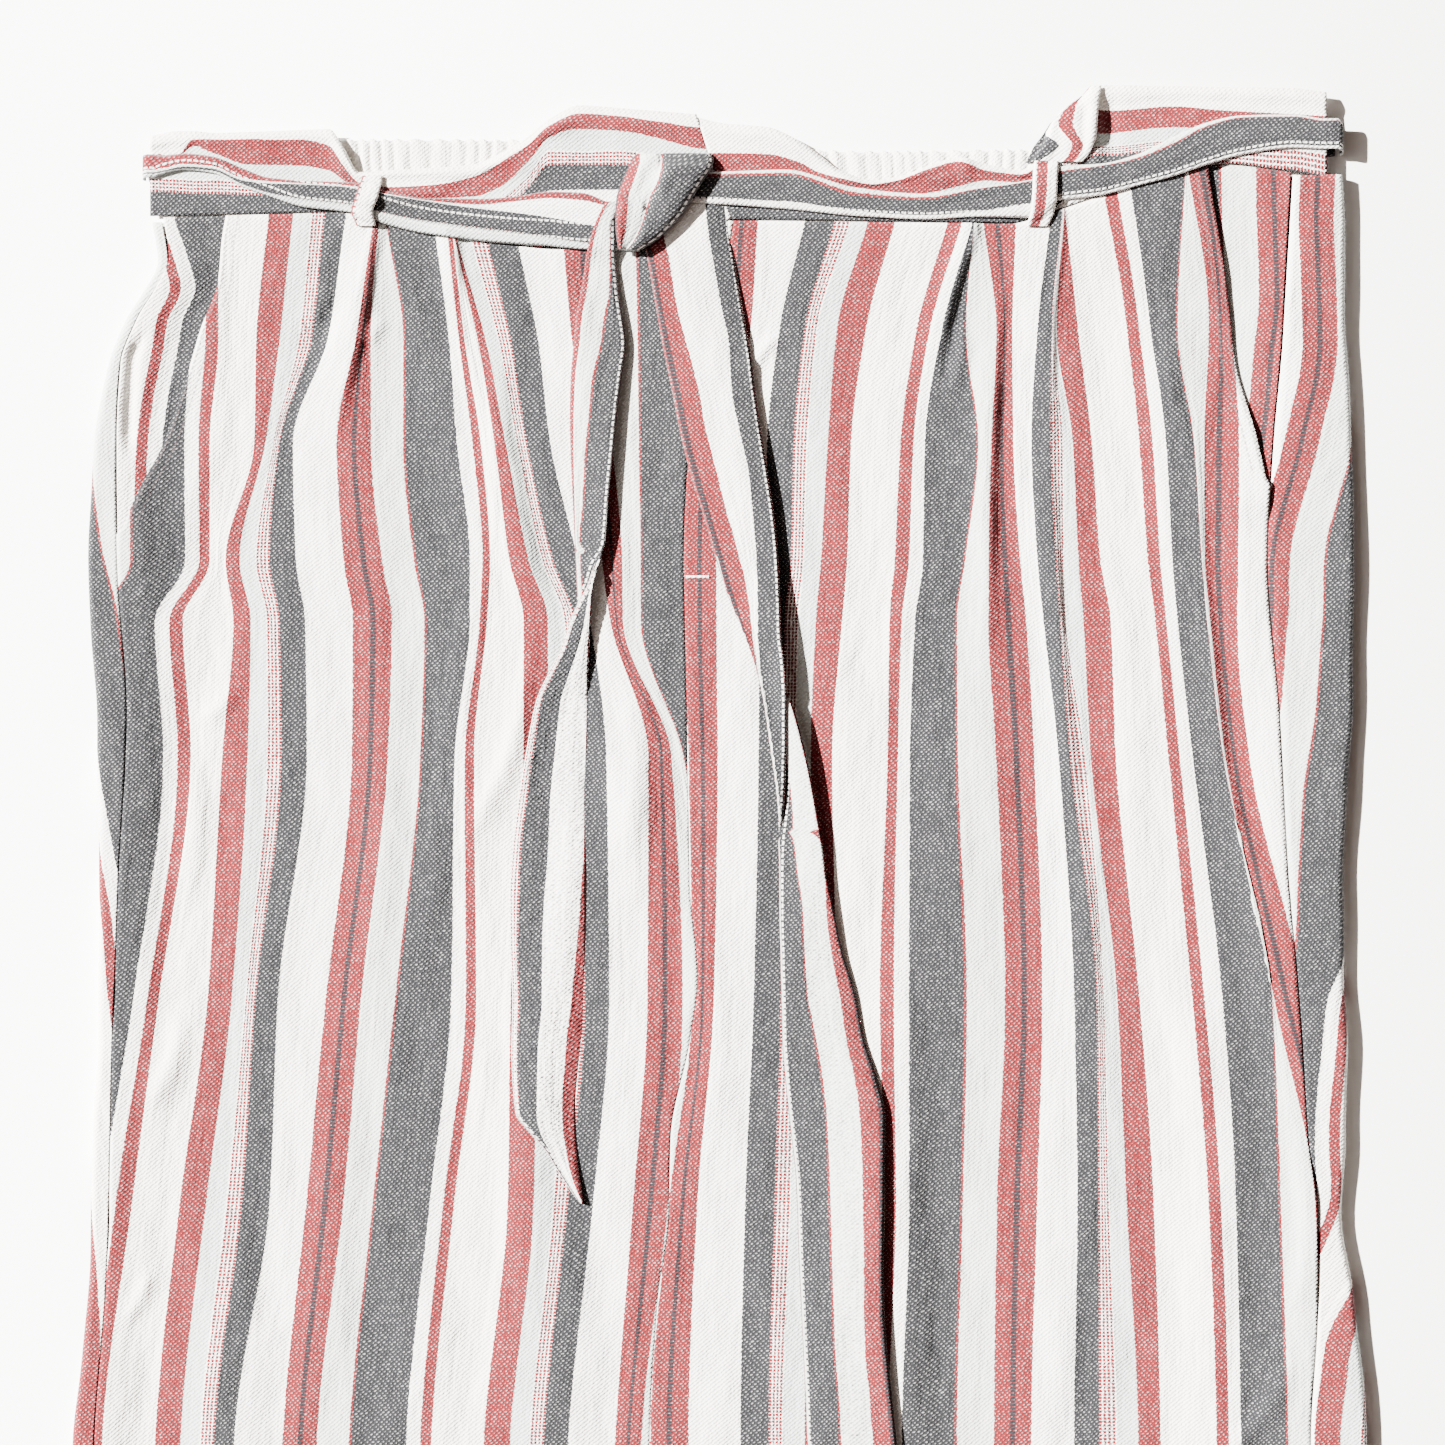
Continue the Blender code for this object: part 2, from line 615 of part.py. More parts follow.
def strip(name, edges, supports, wall, colour, across=3, lead=()):
    """A flat strip laid on its supports, between two edges, with any rows that lead up to it."""
    heights = []
    for (ax, ay, _), (bx, by, _) in edges:
        row = []
        for k in range(across + 1):
            x = ax + (bx - ax) * k / across
            y = ay + (by - ay) * k / across
            row.append(rest_height(supports, x, y) + LAY_GAP + wall / 2)
        heights.append(row)
    heights = smooth_rows(heights)
    rows = [list(row) for row in lead]
    for row, ((ax, ay, lift_a), (bx, by, lift_b)) in zip(heights, edges):
        placed = []
        for k, z in enumerate(row):
            share = k / across
            x = ax + (bx - ax) * share
            y = ay + (by - ay) * share
            placed.append((x, y, z + lift_a + (lift_b - lift_a) * share))
        rows.append(placed)
    return cloth(name, rows, wall, colour, (0, 0, 1), offset=0.0)


def run_edges(rows, count):
    """Edge pairs of a belt stretch, from its table."""
    start, end = rows[0].x, rows[-1].x
    pairs = []
    for i in range(count + 1):
        x = start + (end - start) * i / count
        low = read(rows, "low", x, "x")
        high = read(rows, "high", x, "x")
        pairs.append(((x, low, 0.0), (x, high, 0.0)))
    return pairs


def turn_rows(side, levels, height, across=3):
    """Rows that carry the belt up round the side of the waist."""
    low, high = levels
    reach = 238.6 if side == "right" else 257.6
    sign = -1 if side == "right" else 1
    profile = ((0.4, 0.9), (1.2, 2.8), (1.2, height - 2.2), (0.0, height - 0.5), (-4.0, height + 0.3))
    rows = []
    for out, z in profile:
        x = sign * (reach + out)
        rows.append([(x, low + (high - low) * k / across, z) for k in range(across + 1)])
    return rows


def tail_edges(rows, count):
    """Edge pairs of a belt end, from its table."""
    start, end = rows[0].y, rows[-1].y
    pairs = []
    for i in range(count + 1):
        y = start + (end - start) * i / count
        a = (read(rows, "a", y), y, read(rows, "lift_a", y))
        b = (read(rows, "b", y), y, read(rows, "lift_b", y))
        pairs.append((a, b))
    return pairs


def loop_edges(rows):
    """Edge pairs of a belt loop across the belt."""
    middles = [Loop(*(0.5 * (a + b) for a, b in zip(*pair))) for pair in zip(rows, rows[1:])]
    rows = sorted(list(rows) + middles, key=lambda row: -row.y)
    pairs = []
    for i, row in enumerate(rows):
        before = rows[max(i - 1, 0)]
        after = rows[min(i + 1, len(rows) - 1)]
        along = Vector((after.x - before.x, after.y - before.y)).normalized()
        side = Vector((-along.y, along.x)) * row.half_width
        pairs.append(((row.x - side.x, row.y - side.y, 0.0), (row.x + side.x, row.y + side.y, 0.0)))
    return pairs


def knot(name, rows, supports, colour, across=10):
    """The belt's knot: one rounded solid over the runs and tails that enter it."""
    bm = bmesh.new()
    tops, bottoms = [], []
    for row in rows:
        top, bottom = [], []
        for k in range(across + 1):
            share = k / across
            x = row.left + (row.right - row.left) * share
            base = rest_height(supports, x, row.y, KNOT_REACH) + KNOT_FLOOR
            dome = math.sqrt(max(0.0, 1 - (2 * share - 1) ** 2))
            top.append((x, row.y, base + 0.9 + row.height * dome ** 0.8))
            bottom.append((x, row.y, base))
        tops.append(top)
        bottoms.append(bottom)
    upper = [[bm.verts.new(Vector(point) * MM) for point in row] for row in tops]
    lower = [[bm.verts.new(Vector(point) * MM) for point in row] for row in bottoms]
    grid_faces(bm, upper)
    grid_faces(bm, [row[::-1] for row in lower])
    for edge in (0, -1):
        grid_faces(bm, (upper[edge], lower[edge]))
        grid_faces(bm, ([row[edge] for row in upper], [row[edge] for row in lower]))
    bmesh.ops.recalc_face_normals(bm, faces=bm.faces[:])
    mesh = bpy.data.meshes.new(name)
    bm.to_mesh(mesh)
    bm.free()
    return finish(name, mesh, colour)


def build_pants():
    """All the cut pieces, and the belt laid and tied over them."""
    right_back = back("right_back", "right", GREY)
    left_back = back("left_back", "left", GREY)
    right_facing = facing("right_pocket_facing", "right", POCKET_END_RIGHT, WHITE)
    left_facing = facing("left_pocket_facing", "left", POCKET_END_LEFT, WHITE)
    right_front = front("right_front", "right", RIGHT_LINES, WHITE)
    left_front = front("left_front", "left", LEFT_LINES, WHITE)
    elastic = back_band("back_band", CREAM)
    left_end, right_end = WAIST[0].x, WAIST[-1].x
    half = SEAM_GAP / 2
    band_right = front_band("front_band_right", band_spots(left_end, CENTRE_MIDDLE - half), RED)
    band_left = front_band("front_band_left", band_spots(CENTRE_MIDDLE + half, right_end), RED)
    garment = trees([right_back, left_back, right_facing, left_facing, right_front, left_front,
                     elastic, band_right, band_left])

    behind = [[(x, low, BELT_WALL / 2), (x, 0.5 * (low + high), BELT_WALL / 2), (x, high, BELT_WALL / 2)]
              for x, low, high in BELT_BACK]
    cloth("belt_back", behind, BELT_WALL, GREY, (0, 0, 1), offset=0.0)
    turn_height = WAIST_TOP + LAY_GAP + BELT_WALL / 2
    run_right = strip("belt_run_right", run_edges(RUN_RIGHT, 22), garment, BELT_WALL, GREY,
                      lead=turn_rows("right", RIGHT_TURN, turn_height))
    edges_left = run_edges(RUN_LEFT, 26)[::-1]
    run_left = strip("belt_run_left", edges_left, garment, BELT_WALL, GREY,
                     lead=turn_rows("left", LEFT_TURN, turn_height))
    tail_right = strip("belt_tail_right", tail_edges(TAIL_RIGHT, 38), garment, BELT_WALL, RED)
    tail_left = strip("belt_tail_left", tail_edges(TAIL_LEFT, 44), garment, BELT_WALL, RED)
    dressed = garment + trees([run_right, run_left, tail_right, tail_left])
    knot("belt_knot", KNOT, dressed, RED)
    strip("right_belt_loop", loop_edges(LOOP_RIGHT), dressed, FACING_WALL, WHITE)
    strip("left_belt_loop", loop_edges(LOOP_LEFT), dressed, FACING_WALL, WHITE)


for old in list(bpy.data.objects):
    bpy.data.objects.remove(old)
build_pants()
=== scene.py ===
# %% [markdown]
# # Striped lounge pants, lying flat
# The garment is light woven cotton, laid on its back and tied in front. The CAD model gives each
# cut piece its place. This script gives each piece its cloth: its folds, stripes and stitches.
# The stripes were charted from a photograph, in millimetres across the cloth, so that they
# bend with the folds as woven stripes do.

# %% Load the frame
import math
from collections import namedtuple
import bmesh
import bpy
import numpy as np
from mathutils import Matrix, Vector
from mathutils.bvhtree import BVHTree


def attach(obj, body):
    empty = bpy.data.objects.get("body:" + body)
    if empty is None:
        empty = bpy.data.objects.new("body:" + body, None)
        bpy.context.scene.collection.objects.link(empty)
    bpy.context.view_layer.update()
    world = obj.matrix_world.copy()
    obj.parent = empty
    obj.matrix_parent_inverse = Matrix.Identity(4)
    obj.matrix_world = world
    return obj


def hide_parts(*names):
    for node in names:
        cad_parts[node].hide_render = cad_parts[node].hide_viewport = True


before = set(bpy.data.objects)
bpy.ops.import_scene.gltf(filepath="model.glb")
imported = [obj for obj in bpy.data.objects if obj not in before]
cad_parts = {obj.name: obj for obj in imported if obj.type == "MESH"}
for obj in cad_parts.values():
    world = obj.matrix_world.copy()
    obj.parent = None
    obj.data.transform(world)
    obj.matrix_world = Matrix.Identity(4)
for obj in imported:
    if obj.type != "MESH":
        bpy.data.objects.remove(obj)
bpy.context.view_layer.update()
print("parts:", len(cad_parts))

# %% [markdown]
# Measures are written in millimetres. Places that were read off the photograph are in its pixels,
# at 2.4 to the millimetre, and turned into millimetres here.

# %% Units and the photograph's grid
MM = 0.001
PIXELS = 2.4
PHOTO_X = 720
PHOTO_Y = 1288


def across(pixel):
    """Millimetres to the right of the garment's middle."""
    return (np.asarray(pixel, float) - PHOTO_X) / PIXELS


def up(pixel):
    """Millimetres above the garment's middle, towards the waist."""
    return (PHOTO_Y - np.asarray(pixel, float)) / PIXELS


# %% [markdown]
# A short table gives a value at a few levels. Between them it is read on a smooth curve that never
# overshoots its rows, so that an edge bends softly and two stripes never cross.

# %% Read a table on a curve
def ease(low, high, value):
    """Smooth step from 0 at low to 1 at high."""
    share = np.clip((value - low) / (high - low), 0, 1)
    return share * share * (3 - 2 * share)


def curve(keys, values, at, slope=0.0):
    """Values at some places, on a curve through the keys, with a straight slope beyond its ends."""
    keys = np.asarray(keys, float)
    values = np.asarray(values, float)
    at = np.asarray(at, float)
    width = np.diff(keys)
    rise = np.diff(values) / width
    tangent = np.concatenate(([rise[0]], rise[1:], [rise[-1]]))
    product = rise[:-1] * rise[1:]
    total = np.where(product > 0, rise[:-1] + rise[1:], 1.0)
    tangent[1:-1] = np.where(product > 0, 2 * product / total, 0.0)
    inside = np.clip(at, keys[0], keys[-1])
    i = np.clip(np.searchsorted(keys, inside, side="right") - 1, 0, len(width) - 1)
    t = (inside - keys[i]) / width[i]
    start = (1 + 2 * t) * (1 - t) ** 2 * values[i] + t * (1 - t) ** 2 * width[i] * tangent[i]
    end = t * t * (3 - 2 * t) * values[i + 1] + t * t * (t - 1) * width[i] * tangent[i + 1]
    return start + end + (at - inside) * slope


def read(rows, name, at, key="y"):
    """A named column of a table."""
    ordered = sorted(rows, key=lambda row: getattr(row, key))
    return curve([getattr(row, key) for row in ordered], [getattr(row, name) for row in ordered], at)


def table(kind, columns, text):
    """Rows of a named table from lines of numbers."""
    row = namedtuple(kind, columns)
    return [row(*map(float, line.split())) for line in text.strip().splitlines()]

# %% [markdown]
# The outline, side seams, centre seam, waist and pockets are those of the cut pieces. The panels
# of the scene are built on the same lines, so they lie where the plain parts lie.

# %% Lines of the cut pieces
BODY = table("Body", "y out_r seam_r centre gap seam_l out_l", """
    470 -236.7 -232.4 8.0 0.3 238.0 256.0
    447 -236.7 -232.4 6.5 0.3 238.0 257.5
    425 -233.8 -229.4 3.0 0.3 236.5 260.0
    414 -239.2 -234.8 0.8 0.3 235.5 260.0
    402 -247.1 -242.7 -1.5 0.3 234.5 260.0
    385 -254.6 -249.4 -6.5 0.3 233.0 261.0
    352 -260.0 -251.0 -12.6 0.3 230.0 263.0
    303 -262.9 -250.5 -15.0 0.3 227.5 263.8
    240 -259.5 -246.5 -13.7 0.3 232.5 263.0
    170 -258.3 -250.0 -12.6 0.3 236.3 259.2
    130 -258.3 -251.4 -9.2 0.3 240.0 259.8
    103 -258.8 -252.6 -12.5 0.3 242.0 260.8
    63 -260.8 -253.4 -20.4 0.3 244.5 260.4
    30 -261.7 -254.0 -21.2 0.3 248.5 258.5
    -5 -263.0 -255.6 -25.8 0.3 248.5 264.0
    -63 -269.2 -260.0 -29.2 0.5 245.5 269.2
    -280 -274.0 -264.0 -24.0 6.0 254.0 274.0
    -500 -277.0 -268.0 -18.0 14.0 264.0 277.0
""")
SEAM = table("Seam", "x y", """
    -236.7 445.8
    -205.8 446.7
    -175.0 447.5
    -160.0 447.9
    -147.0 446.5
    -134.0 444.0
    -118.0 440.0
    -102.0 436.2
    -89.0 434.6
    -66.7 432.6
    -40.0 434.0
    -9.6 442.0
    6.0 444.6
    32.9 444.4
    66.0 444.0
    99.0 443.6
    120.8 443.3
    131.0 445.5
    141.3 449.0
    156.0 454.0
    180.0 461.0
    207.9 468.0
    234.6 465.0
    252.1 461.7
""")
POCKET = table("Pocket", "y right left", """
    466 -204.6 197.9
    447 -204.6 201.3
    431 -207.1 205.0
    416 -208.8 209.0
    398 -216.3 212.6
    384 -220.6 214.5
    352 -231.3 223.5
    332 -241.5 227.2
    313 -249.6 227.3
""")
POCKET_END = {"right": 318, "left": 338}
SIGN = {"right": -1, "left": 1}
WALL = 1.2
FRONT_TOP = 2.9
WAIST_TOP = 6.2
SIDE_TOP = 5.8
BELT_ROOM = 2.0
WAIST_LEVEL = 440
WAIST_START = 392
CENTRE_MIDDLE = -2.3
FACING_TOP = 2.6


def body(name, y):
    return read(BODY, name, y)


def seam_at(x):
    """Level of the waist seam."""
    return read(SEAM, "y", x, "x")


def waist_share(y):
    """How far a point is up the rise towards the waist band, from 0 to 1."""
    return ease(WAIST_START, WAIST_LEVEL, y)


def back_floor(y):
    """Underside of the back, which lifts over the belt behind the waist."""
    return BELT_ROOM * ease(410, WAIST_LEVEL, y)


def side_top(y):
    """Top of the rolled side."""
    return SIDE_TOP + (WAIST_TOP - SIDE_TOP) * waist_share(y)


def seam_distance(side, x, y):
    """Distance in from the side seam."""
    if side == "right":
        return x - body("seam_r", y)
    return body("seam_l", y) - x


def side_rise(flat, top, distance):
    """Height of cloth that climbs to the side seam over its last 26 mm."""
    return flat + (top - flat) * (1 - ease(0, 26, distance))


def facing_height(side, x, y):
    """Top of a pocket facing."""
    flat = back_floor(y) + FACING_TOP + 0.1 * waist_share(y)
    return side_rise(flat, side_top(y), seam_distance(side, x, y))


# %% [markdown]
# One woven repeat is 134.2 mm wide. Its stripes were measured along the cloth. On each front the
# same stripe edges were then measured at ten levels. Where two edges close up, the cloth between
# them is folded away in a pleat. The wearer's right front reads from the left of the photograph.

# %% The stripes down each front
REPEAT = 134.2
RIGHT_S = (-25.8, -21.3, 0, 10.8, 25, 35.4, 51.3, 65.8, 81.3, 102.5, 112.9, 134.2, 145, 159.2, 169.6,
           185.4, 200, 215.4)
RIGHT_NAMES = "rn0 w3 r1 lg dg w1 rbr gw dw w2 w3b r1b lgb dgb w1b rbrb gwb dwb".split()
RIGHT_X = {
    439: (-213, -208.8, -187.5, -177.5, -164.2, -155.5, -143.8, -141.7, -138.3, -118.3, -110.8, -110.2,
          -109.2, -96.3, -83.8, -65, -50, -34),
    395: (-214.2, -208.8, -192.9, -183.3, -170, -163.3, -151.3, -145.4, -130.8, -112.9, -106.3, -100.8,
          -97.5, -87.1, -75.8, -61.7, -48.3, -33.3),
    352: (-217, -212.5, -193.8, -189.2, -183.3, -177.9, -159.6, -145.4, -130.8, -109.6, -99.6, -93.8,
          -89.2, -80.4, -70.8, -55, -45, -33),
    303: (-216.7, -212.5, -205.8, -200, -187.5, -176.7, -156.7, -140.8, -126.3, -104.2, -95.8, -87.5,
          -79.6, -69.6, -59.2, -49.2, -40.8, -32.5),
    278: (-229.2, -223.8, -202.5, -195.4, -183.3, -172.9, -152.9, -136.7, -122.1, -104.2, -97.1, -81.7,
          -71.7, -60.4, -54.2, -45.8, -40.4, -32.5),
    222: (-225.8, -220.4, -207.1, -196.7, -182.5, -172.1, -153.3, -138.3, -123.8, -110.4, -102.5, -81.7,
          -72, -57, -47.5, -30, -20.4, -15),
    120: (-238.3, -233.8, -213.3, -203.3, -193.3, -184.2, -164.2, -149.6, -134.2, -112.1, -101.7, -87.1,
          -76.3, -56.3, -46.3, -30.4, -15.8, -0.4),
    37: (-251.3, -244.6, -224.6, -213.8, -198.8, -187.5, -172.1, -156.7, -143.3, -120.8, -110.8, -88.3,
         -77.5, -63.3, -52.9, -36.3, -21.7, -6),
    -63: (-261.7, -257, -235, -224.6, -210.4, -202.1, -182.1, -167.9, -153.3, -130.8, -120.4, -98.3,
          -87.5, -73.3, -63.3, -43.8, -32.9, -17.5),
    -500: (-275, -270.4, -248, -237, -223, -212.5, -196.7, -182, -166.7, -145.4, -135, -113.8,
           -103, -88.8, -78.3, -62.5, -48, -32.5),
}
LEFT_S = tuple(pixel / PIXELS for pixel in (0, 35, 73, 98, 113, 132, 158, 209, 220, 234, 288, 322, 357,
                                            395, 420, 435, 454, 480, 531, 542, 556, 610, 644, 679))
LEFT_NAMES = "rbr w1 dg tr lg r1 w3 rn w2 dw gw rbr2 w1b dgb trb lgb r1b w3b rnb w2b dwb gwb rbrc w1c".split()
LEFT_START = 158 / PIXELS
LEFT_X = {
    439: (2.9, 15.8, 35.4, 47.5, 54.2, 61.3, 72.5, 94.6, 100.4, 104.6, 105.4, 109.6, 122.9, 137.5, 142.1,
          142.5, 142.9, 143.3, 160, 165.4, 170.8, 193.3, 194.6, 209),
    399: (-1.7, 12.9, 25, 35.4, 40.8, 48.8, 60.8, 82.1, 87.5, 92.5, 102.5, 115, 121.7, 132.1, 137.9,
          138.8, 140, 148.8, 169.2, 174.2, 178.8, 190.4, 203.3, 212.5),
    353: (-12.9, 0.8, 20, 30.8, 36.7, 45, 54.6, 75.4, 80.8, 85.4, 107.5, 112.9, 122.1, 129.6, 137.5,
          142.9, 146.7, 154.6, 174.6, 180, 185.4, 197.1, 201.3, 215.8),
    303: (-15, -1.3, 19.2, 29.6, 35, 42.1, 52.9, 72.9, 78.8, 84.6, 102.1, 111.7, 125, 132.1, 139.6,
          143.3, 149.2, 158.3, 178.3, 183.3, 188.3, 200.4, 201.7, 215.4),
    278: (-15, -1.3, 16.7, 27.1, 32.9, 40, 50.8, 70.8, 75.8, 81.3, 98.8, 111.7, 127.5, 134.6, 141.3,
          144.2, 151.3, 162.5, 181.3, 185.8, 190.4, 202.5, 203.8, 215),
    222: (-12.9, -0.8, 16.3, 26.7, 31.7, 37.9, 46.7, 70, 74.2, 79.2, 99.2, 115, 130.8, 140.8, 145.4,
          152.1, 154.2, 164.6, 186.7, 191.3, 196.7, 209.2, 210, 220),
    120: (-11.3, -2.5, 14.2, 25.4, 31.3, 38.3, 48.3, 66.7, 72.5, 78.8, 102.9, 118.8, 134.2, 147.5, 156.7,
          160, 165.4, 174.6, 196.7, 201.7, 209.2, 229.6, 230.4, 243.8),
    37: (-20.8, -9.2, 10.8, 22.9, 29.6, 36.7, 46.7, 68.8, 73.3, 78.8, 101.3, 115.4, 132.1, 148.8, 157.5,
         162.1, 169.2, 180.4, 203.3, 208.3, 214.6, 233.3, 247.1, 257),
    -63: (-28.8, -12.9, 8.8, 20.4, 26.3, 35.4, 45.8, 65, 70, 75.8, 98.8, 114.2, 129.6, 147.5, 157.9,
          165.4, 174.2, 183.3, 206.7, 211.7, 216.7, 236.3, 250, 260.4),
    -500: (-12.5, 2, 17.9, 28.3, 34.6, 42.5, 53.3, 74.6, 79.2, 85, 107.5, 121.7, 136.3, 152.1, 162.5,
           168.8, 176.7, 187.5, 208.8, 213.3, 219.2, 241.7, 255.8, 270.4),
}
CHART = {"right": (RIGHT_X, RIGHT_S, RIGHT_NAMES), "left": (LEFT_X, LEFT_S, LEFT_NAMES)}


def stripe_edges(side, y):
    """Places of the charted stripe edges at some levels, one row for each level."""
    rows, _, names = CHART[side]
    levels = sorted(rows)
    charted = np.array([rows[level] for level in levels])
    return np.stack([curve(levels, charted[:, k], y) for k in range(len(names))], axis=-1)


def stripe_line(side, name, y):
    """Where one stripe edge runs."""
    rows, _, names = CHART[side]
    levels = sorted(rows)
    k = names.index(name)
    return curve(levels, [rows[level][k] for level in levels], y)


# %% [markdown]
# A pleat rises softly to its edge and drops steeply behind it, and lighter folds do the same more
# gently. Each is placed on the stripe that it follows in the photograph. Smaller creases are
# straight, soft ridges and troughs between two points.

# %% Folds and creases
FOLDS = table("Fold", "top bottom height soft steep at_top", """
    450 340 2.6 15 5.5 0.4
    450 405 1.7 12 3.5 0.5
    405 245 2.1 16 7.0 0
    300 60 1.2 14 14 0
    20 -160 1.6 20 20 0
    150 -120 1.3 18 14 0
    450 370 2.3 12 4.8 0.5
    425 230 2.6 12 4.6 0
    450 50 2.0 13 3.2 0.5
    390 90 1.6 13 4.6 0
    62 -20 3.2 10 5.0 0
    200 -150 1.4 20 16 0
    60 -200 1.8 16 16 0
    -120 -470 1.6 22 18 0
    -140 -480 1.8 20 20 0
    -110 -460 1.5 20 22 0
    -150 -480 1.8 22 18 0
""")
FOLD_PLACES = """right rbr
right w3b
right lgb
right gw
right w1
right lgb
left dw
left rbr2
left trb
left gwb
left rbrc
left dw
left rnb
right w2
right w1b
left w3
left r1b""".splitlines()
CREASES = table("Crease", "x1 y1 x2 y2 height soft steep", """
    530 650 473 830 1.5 7 4
    235 690 205 720 0.9 4 3
    372 343 385 322 0.8 3 2
    181 1018 156 1098 1.6 6 4
    149 1273 127 1318 1.2 4 3
    626 700 631 840 1.2 6 5
    751 369 780 337 1.0 3 2
    1297 1150 1297 1300 1.8 7 3
    1283 1369 1235 1445 1.6 6 4
    963 330 950 390 0.9 3 2
    340 300 305 345 -1.4 5 4
    225 250 232 420 -0.8 7 7
    560 260 585 420 1.0 6 5
    590 700 640 900 1.0 9 8
    450 620 440 900 0.9 9 12
    700 900 690 1200 1.0 12 9
    880 420 900 700 0.8 12 9
    1150 330 1165 560 0.9 9 12
    1230 480 1240 700 1.1 6 8
    860 1050 850 1400 0.9 12 14
    330 1100 300 1420 1.0 12 10
    560 1220 545 1440 0.9 10 12
    1180 980 1200 1280 1.1 12 9
    1050 1150 1040 1430 0.9 9 12
    230 1150 215 1400 0.9 10 12
    640 1020 655 1100 0.8 6 5
    1105 560 1130 800 0.8 8 10
    195 760 180 900 1.0 6 6
    425 1260 405 1440 0.8 9 9
    1290 905 1240 820 1.2 5 4
""")


def crease_height(x, y):
    """Height that the small creases add."""
    total = np.zeros(np.broadcast(x, y).shape)
    for row in CREASES:
        ax, ay, bx, by = across(row.x1), up(row.y1), across(row.x2), up(row.y2)
        length = math.hypot(bx - ax, by - ay)
        along = ((x - ax) * (bx - ax) + (y - ay) * (by - ay)) / length
        bend = 0.06 * length * np.sin(np.pi * np.clip(along / length, 0, 1))
        off = ((x - ax) * (by - ay) - (y - ay) * (bx - ax)) / length + bend
        width = np.where(off < 0, row.soft, row.steep)
        fade = ease(-0.25 * length, 0.3 * length, along) * (1 - ease(0.7 * length, 1.25 * length, along))
        total += row.height * fade * np.exp(-(off / width) ** 2)
    return total


def fold_height(side, x, y):
    """Height that the pleats and long folds add to a front."""
    total = np.zeros(np.broadcast(x, y).shape)
    for row, place in zip(FOLDS, FOLD_PLACES):
        place_side, name = place.split()
        if place_side != side:
            continue
        line = stripe_line(side, name, y)
        length = row.top - row.bottom
        fade = ease(row.bottom, row.bottom + 0.45 * length, y)
        start = 1 - (1 - row.at_top) * ease(row.top - 0.3 * length, row.top, y)
        rise = ease(line - row.soft, line, x)
        drop = 1 - ease(line, line + row.steep, x)
        total += row.height * fade * start * np.where(x <= line, rise, drop)
    return total


def unevenness(x, y, seed=0.0):
    """The soft, irregular waviness of thin cloth, about half a millimetre either way."""
    long_wave = np.sin(x / 9.3 + 0.9 * np.sin(y / 61 + seed) + seed) * np.sin(y / 83 + x / 47 + 2 * seed)
    short_wave = np.sin(x / 4.1 + y / 23 + 1.3 * np.sin(y / 17 + seed)) * np.sin(y / 29 - x / 13 + seed)
    cross = np.sin(y / 7.3 + x / 11 + seed) * np.sin(x / 17 + seed) * np.sin(y / 37)
    return 0.45 * long_wave + 0.24 * short_wave + 0.20 * cross


def front_height(side, x, y):
    """Top of a front: lying on the back, over the facing at the pocket, with its folds."""
    level = np.minimum(y, WAIST_LEVEL)
    flat = FRONT_TOP + (WAIST_TOP - FRONT_TOP) * waist_share(level)
    height = side_rise(flat, side_top(level), seam_distance(side, x, level))
    inward = -SIGN[side] * (x - read(POCKET, side, level))
    end = POCKET_END[side]
    near_pocket = (1 - ease(19, 38, inward)) * ease(end - 24, end - 8, level)
    over_facing = facing_height(side, x, level) + 1.6
    height = height + near_pocket * np.maximum(0.0, over_facing - height)
    calm = 1 - 0.75 * (1 - ease(2, 13, seam_distance(side, x, level))) * (1 - ease(end - 30, end, level))
    folds = fold_height(side, x, level) * (1 - near_pocket * 0.6) * calm
    soft = (1.5 * crease_height(x, level) + 1.3 * unevenness(x, level)) * (1 - 0.6 * waist_share(level)) * calm
    return height + folds + np.maximum(soft, -0.9)

# %% [markdown]
# Cloth is a thin sheet. Each sheet starts as Blender's own grid. Its points are moved to their
# places, and a UV map called cloth holds where each point lies on the flat woven fabric, in metres.
# A second map, called edge, holds the distance along and in from a sewn edge, for the stitches.

# %% A sheet from rows of places
def lay(name, points, cloth_uv, edge_uv=None, wall=0.6, close=False, looks=1):
    """A sheet through rows of points, with its two maps and a thin wall on its far side."""
    rows, columns = points.shape[:2]
    bm = bmesh.new()
    bmesh.ops.create_grid(bm, x_segments=columns - 1, y_segments=rows - 1, size=0.5)
    mesh = bpy.data.meshes.new(name)
    bm.to_mesh(mesh)
    bm.free()
    mesh.vertices.foreach_set("co", (points.reshape(-1, 3) * MM).ravel())
    index = np.empty(len(mesh.loops), dtype=np.int32)
    mesh.loops.foreach_get("vertex_index", index)
    for title, places in (("cloth", cloth_uv), ("edge", cloth_uv if edge_uv is None else edge_uv)):
        layer = mesh.uv_layers.get(title) or mesh.uv_layers.new(name=title)
        layer.data.foreach_set("uv", (places.reshape(-1, 2)[index] * MM).ravel())
    bm = bmesh.new()
    bm.from_mesh(mesh)
    if close:
        bmesh.ops.remove_doubles(bm, verts=bm.verts[:], dist=0.00001)
    bm.normal_update()
    if close:
        bmesh.ops.recalc_face_normals(bm, faces=bm.faces[:])
    elif looks * sum(face.normal.z * face.calc_area() for face in bm.faces) < 0:
        bmesh.ops.reverse_faces(bm, faces=bm.faces[:])
    bm.to_mesh(mesh)
    bm.free()
    mesh.shade_smooth()
    piece = bpy.data.objects.new(name, mesh)
    bpy.context.scene.collection.objects.link(piece)
    if not close:
        shell = piece.modifiers.new("Wall", "SOLIDIFY")
        shell.thickness = wall * MM
        shell.offset = -1
        shell.use_rim = True
    return piece


def place(piece, nodes, slot, finish):
    """Give a piece its finish and its place in the frame."""
    piece.data.materials.append(finish)
    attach(piece, "root")
    if nodes:
        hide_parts(*nodes)


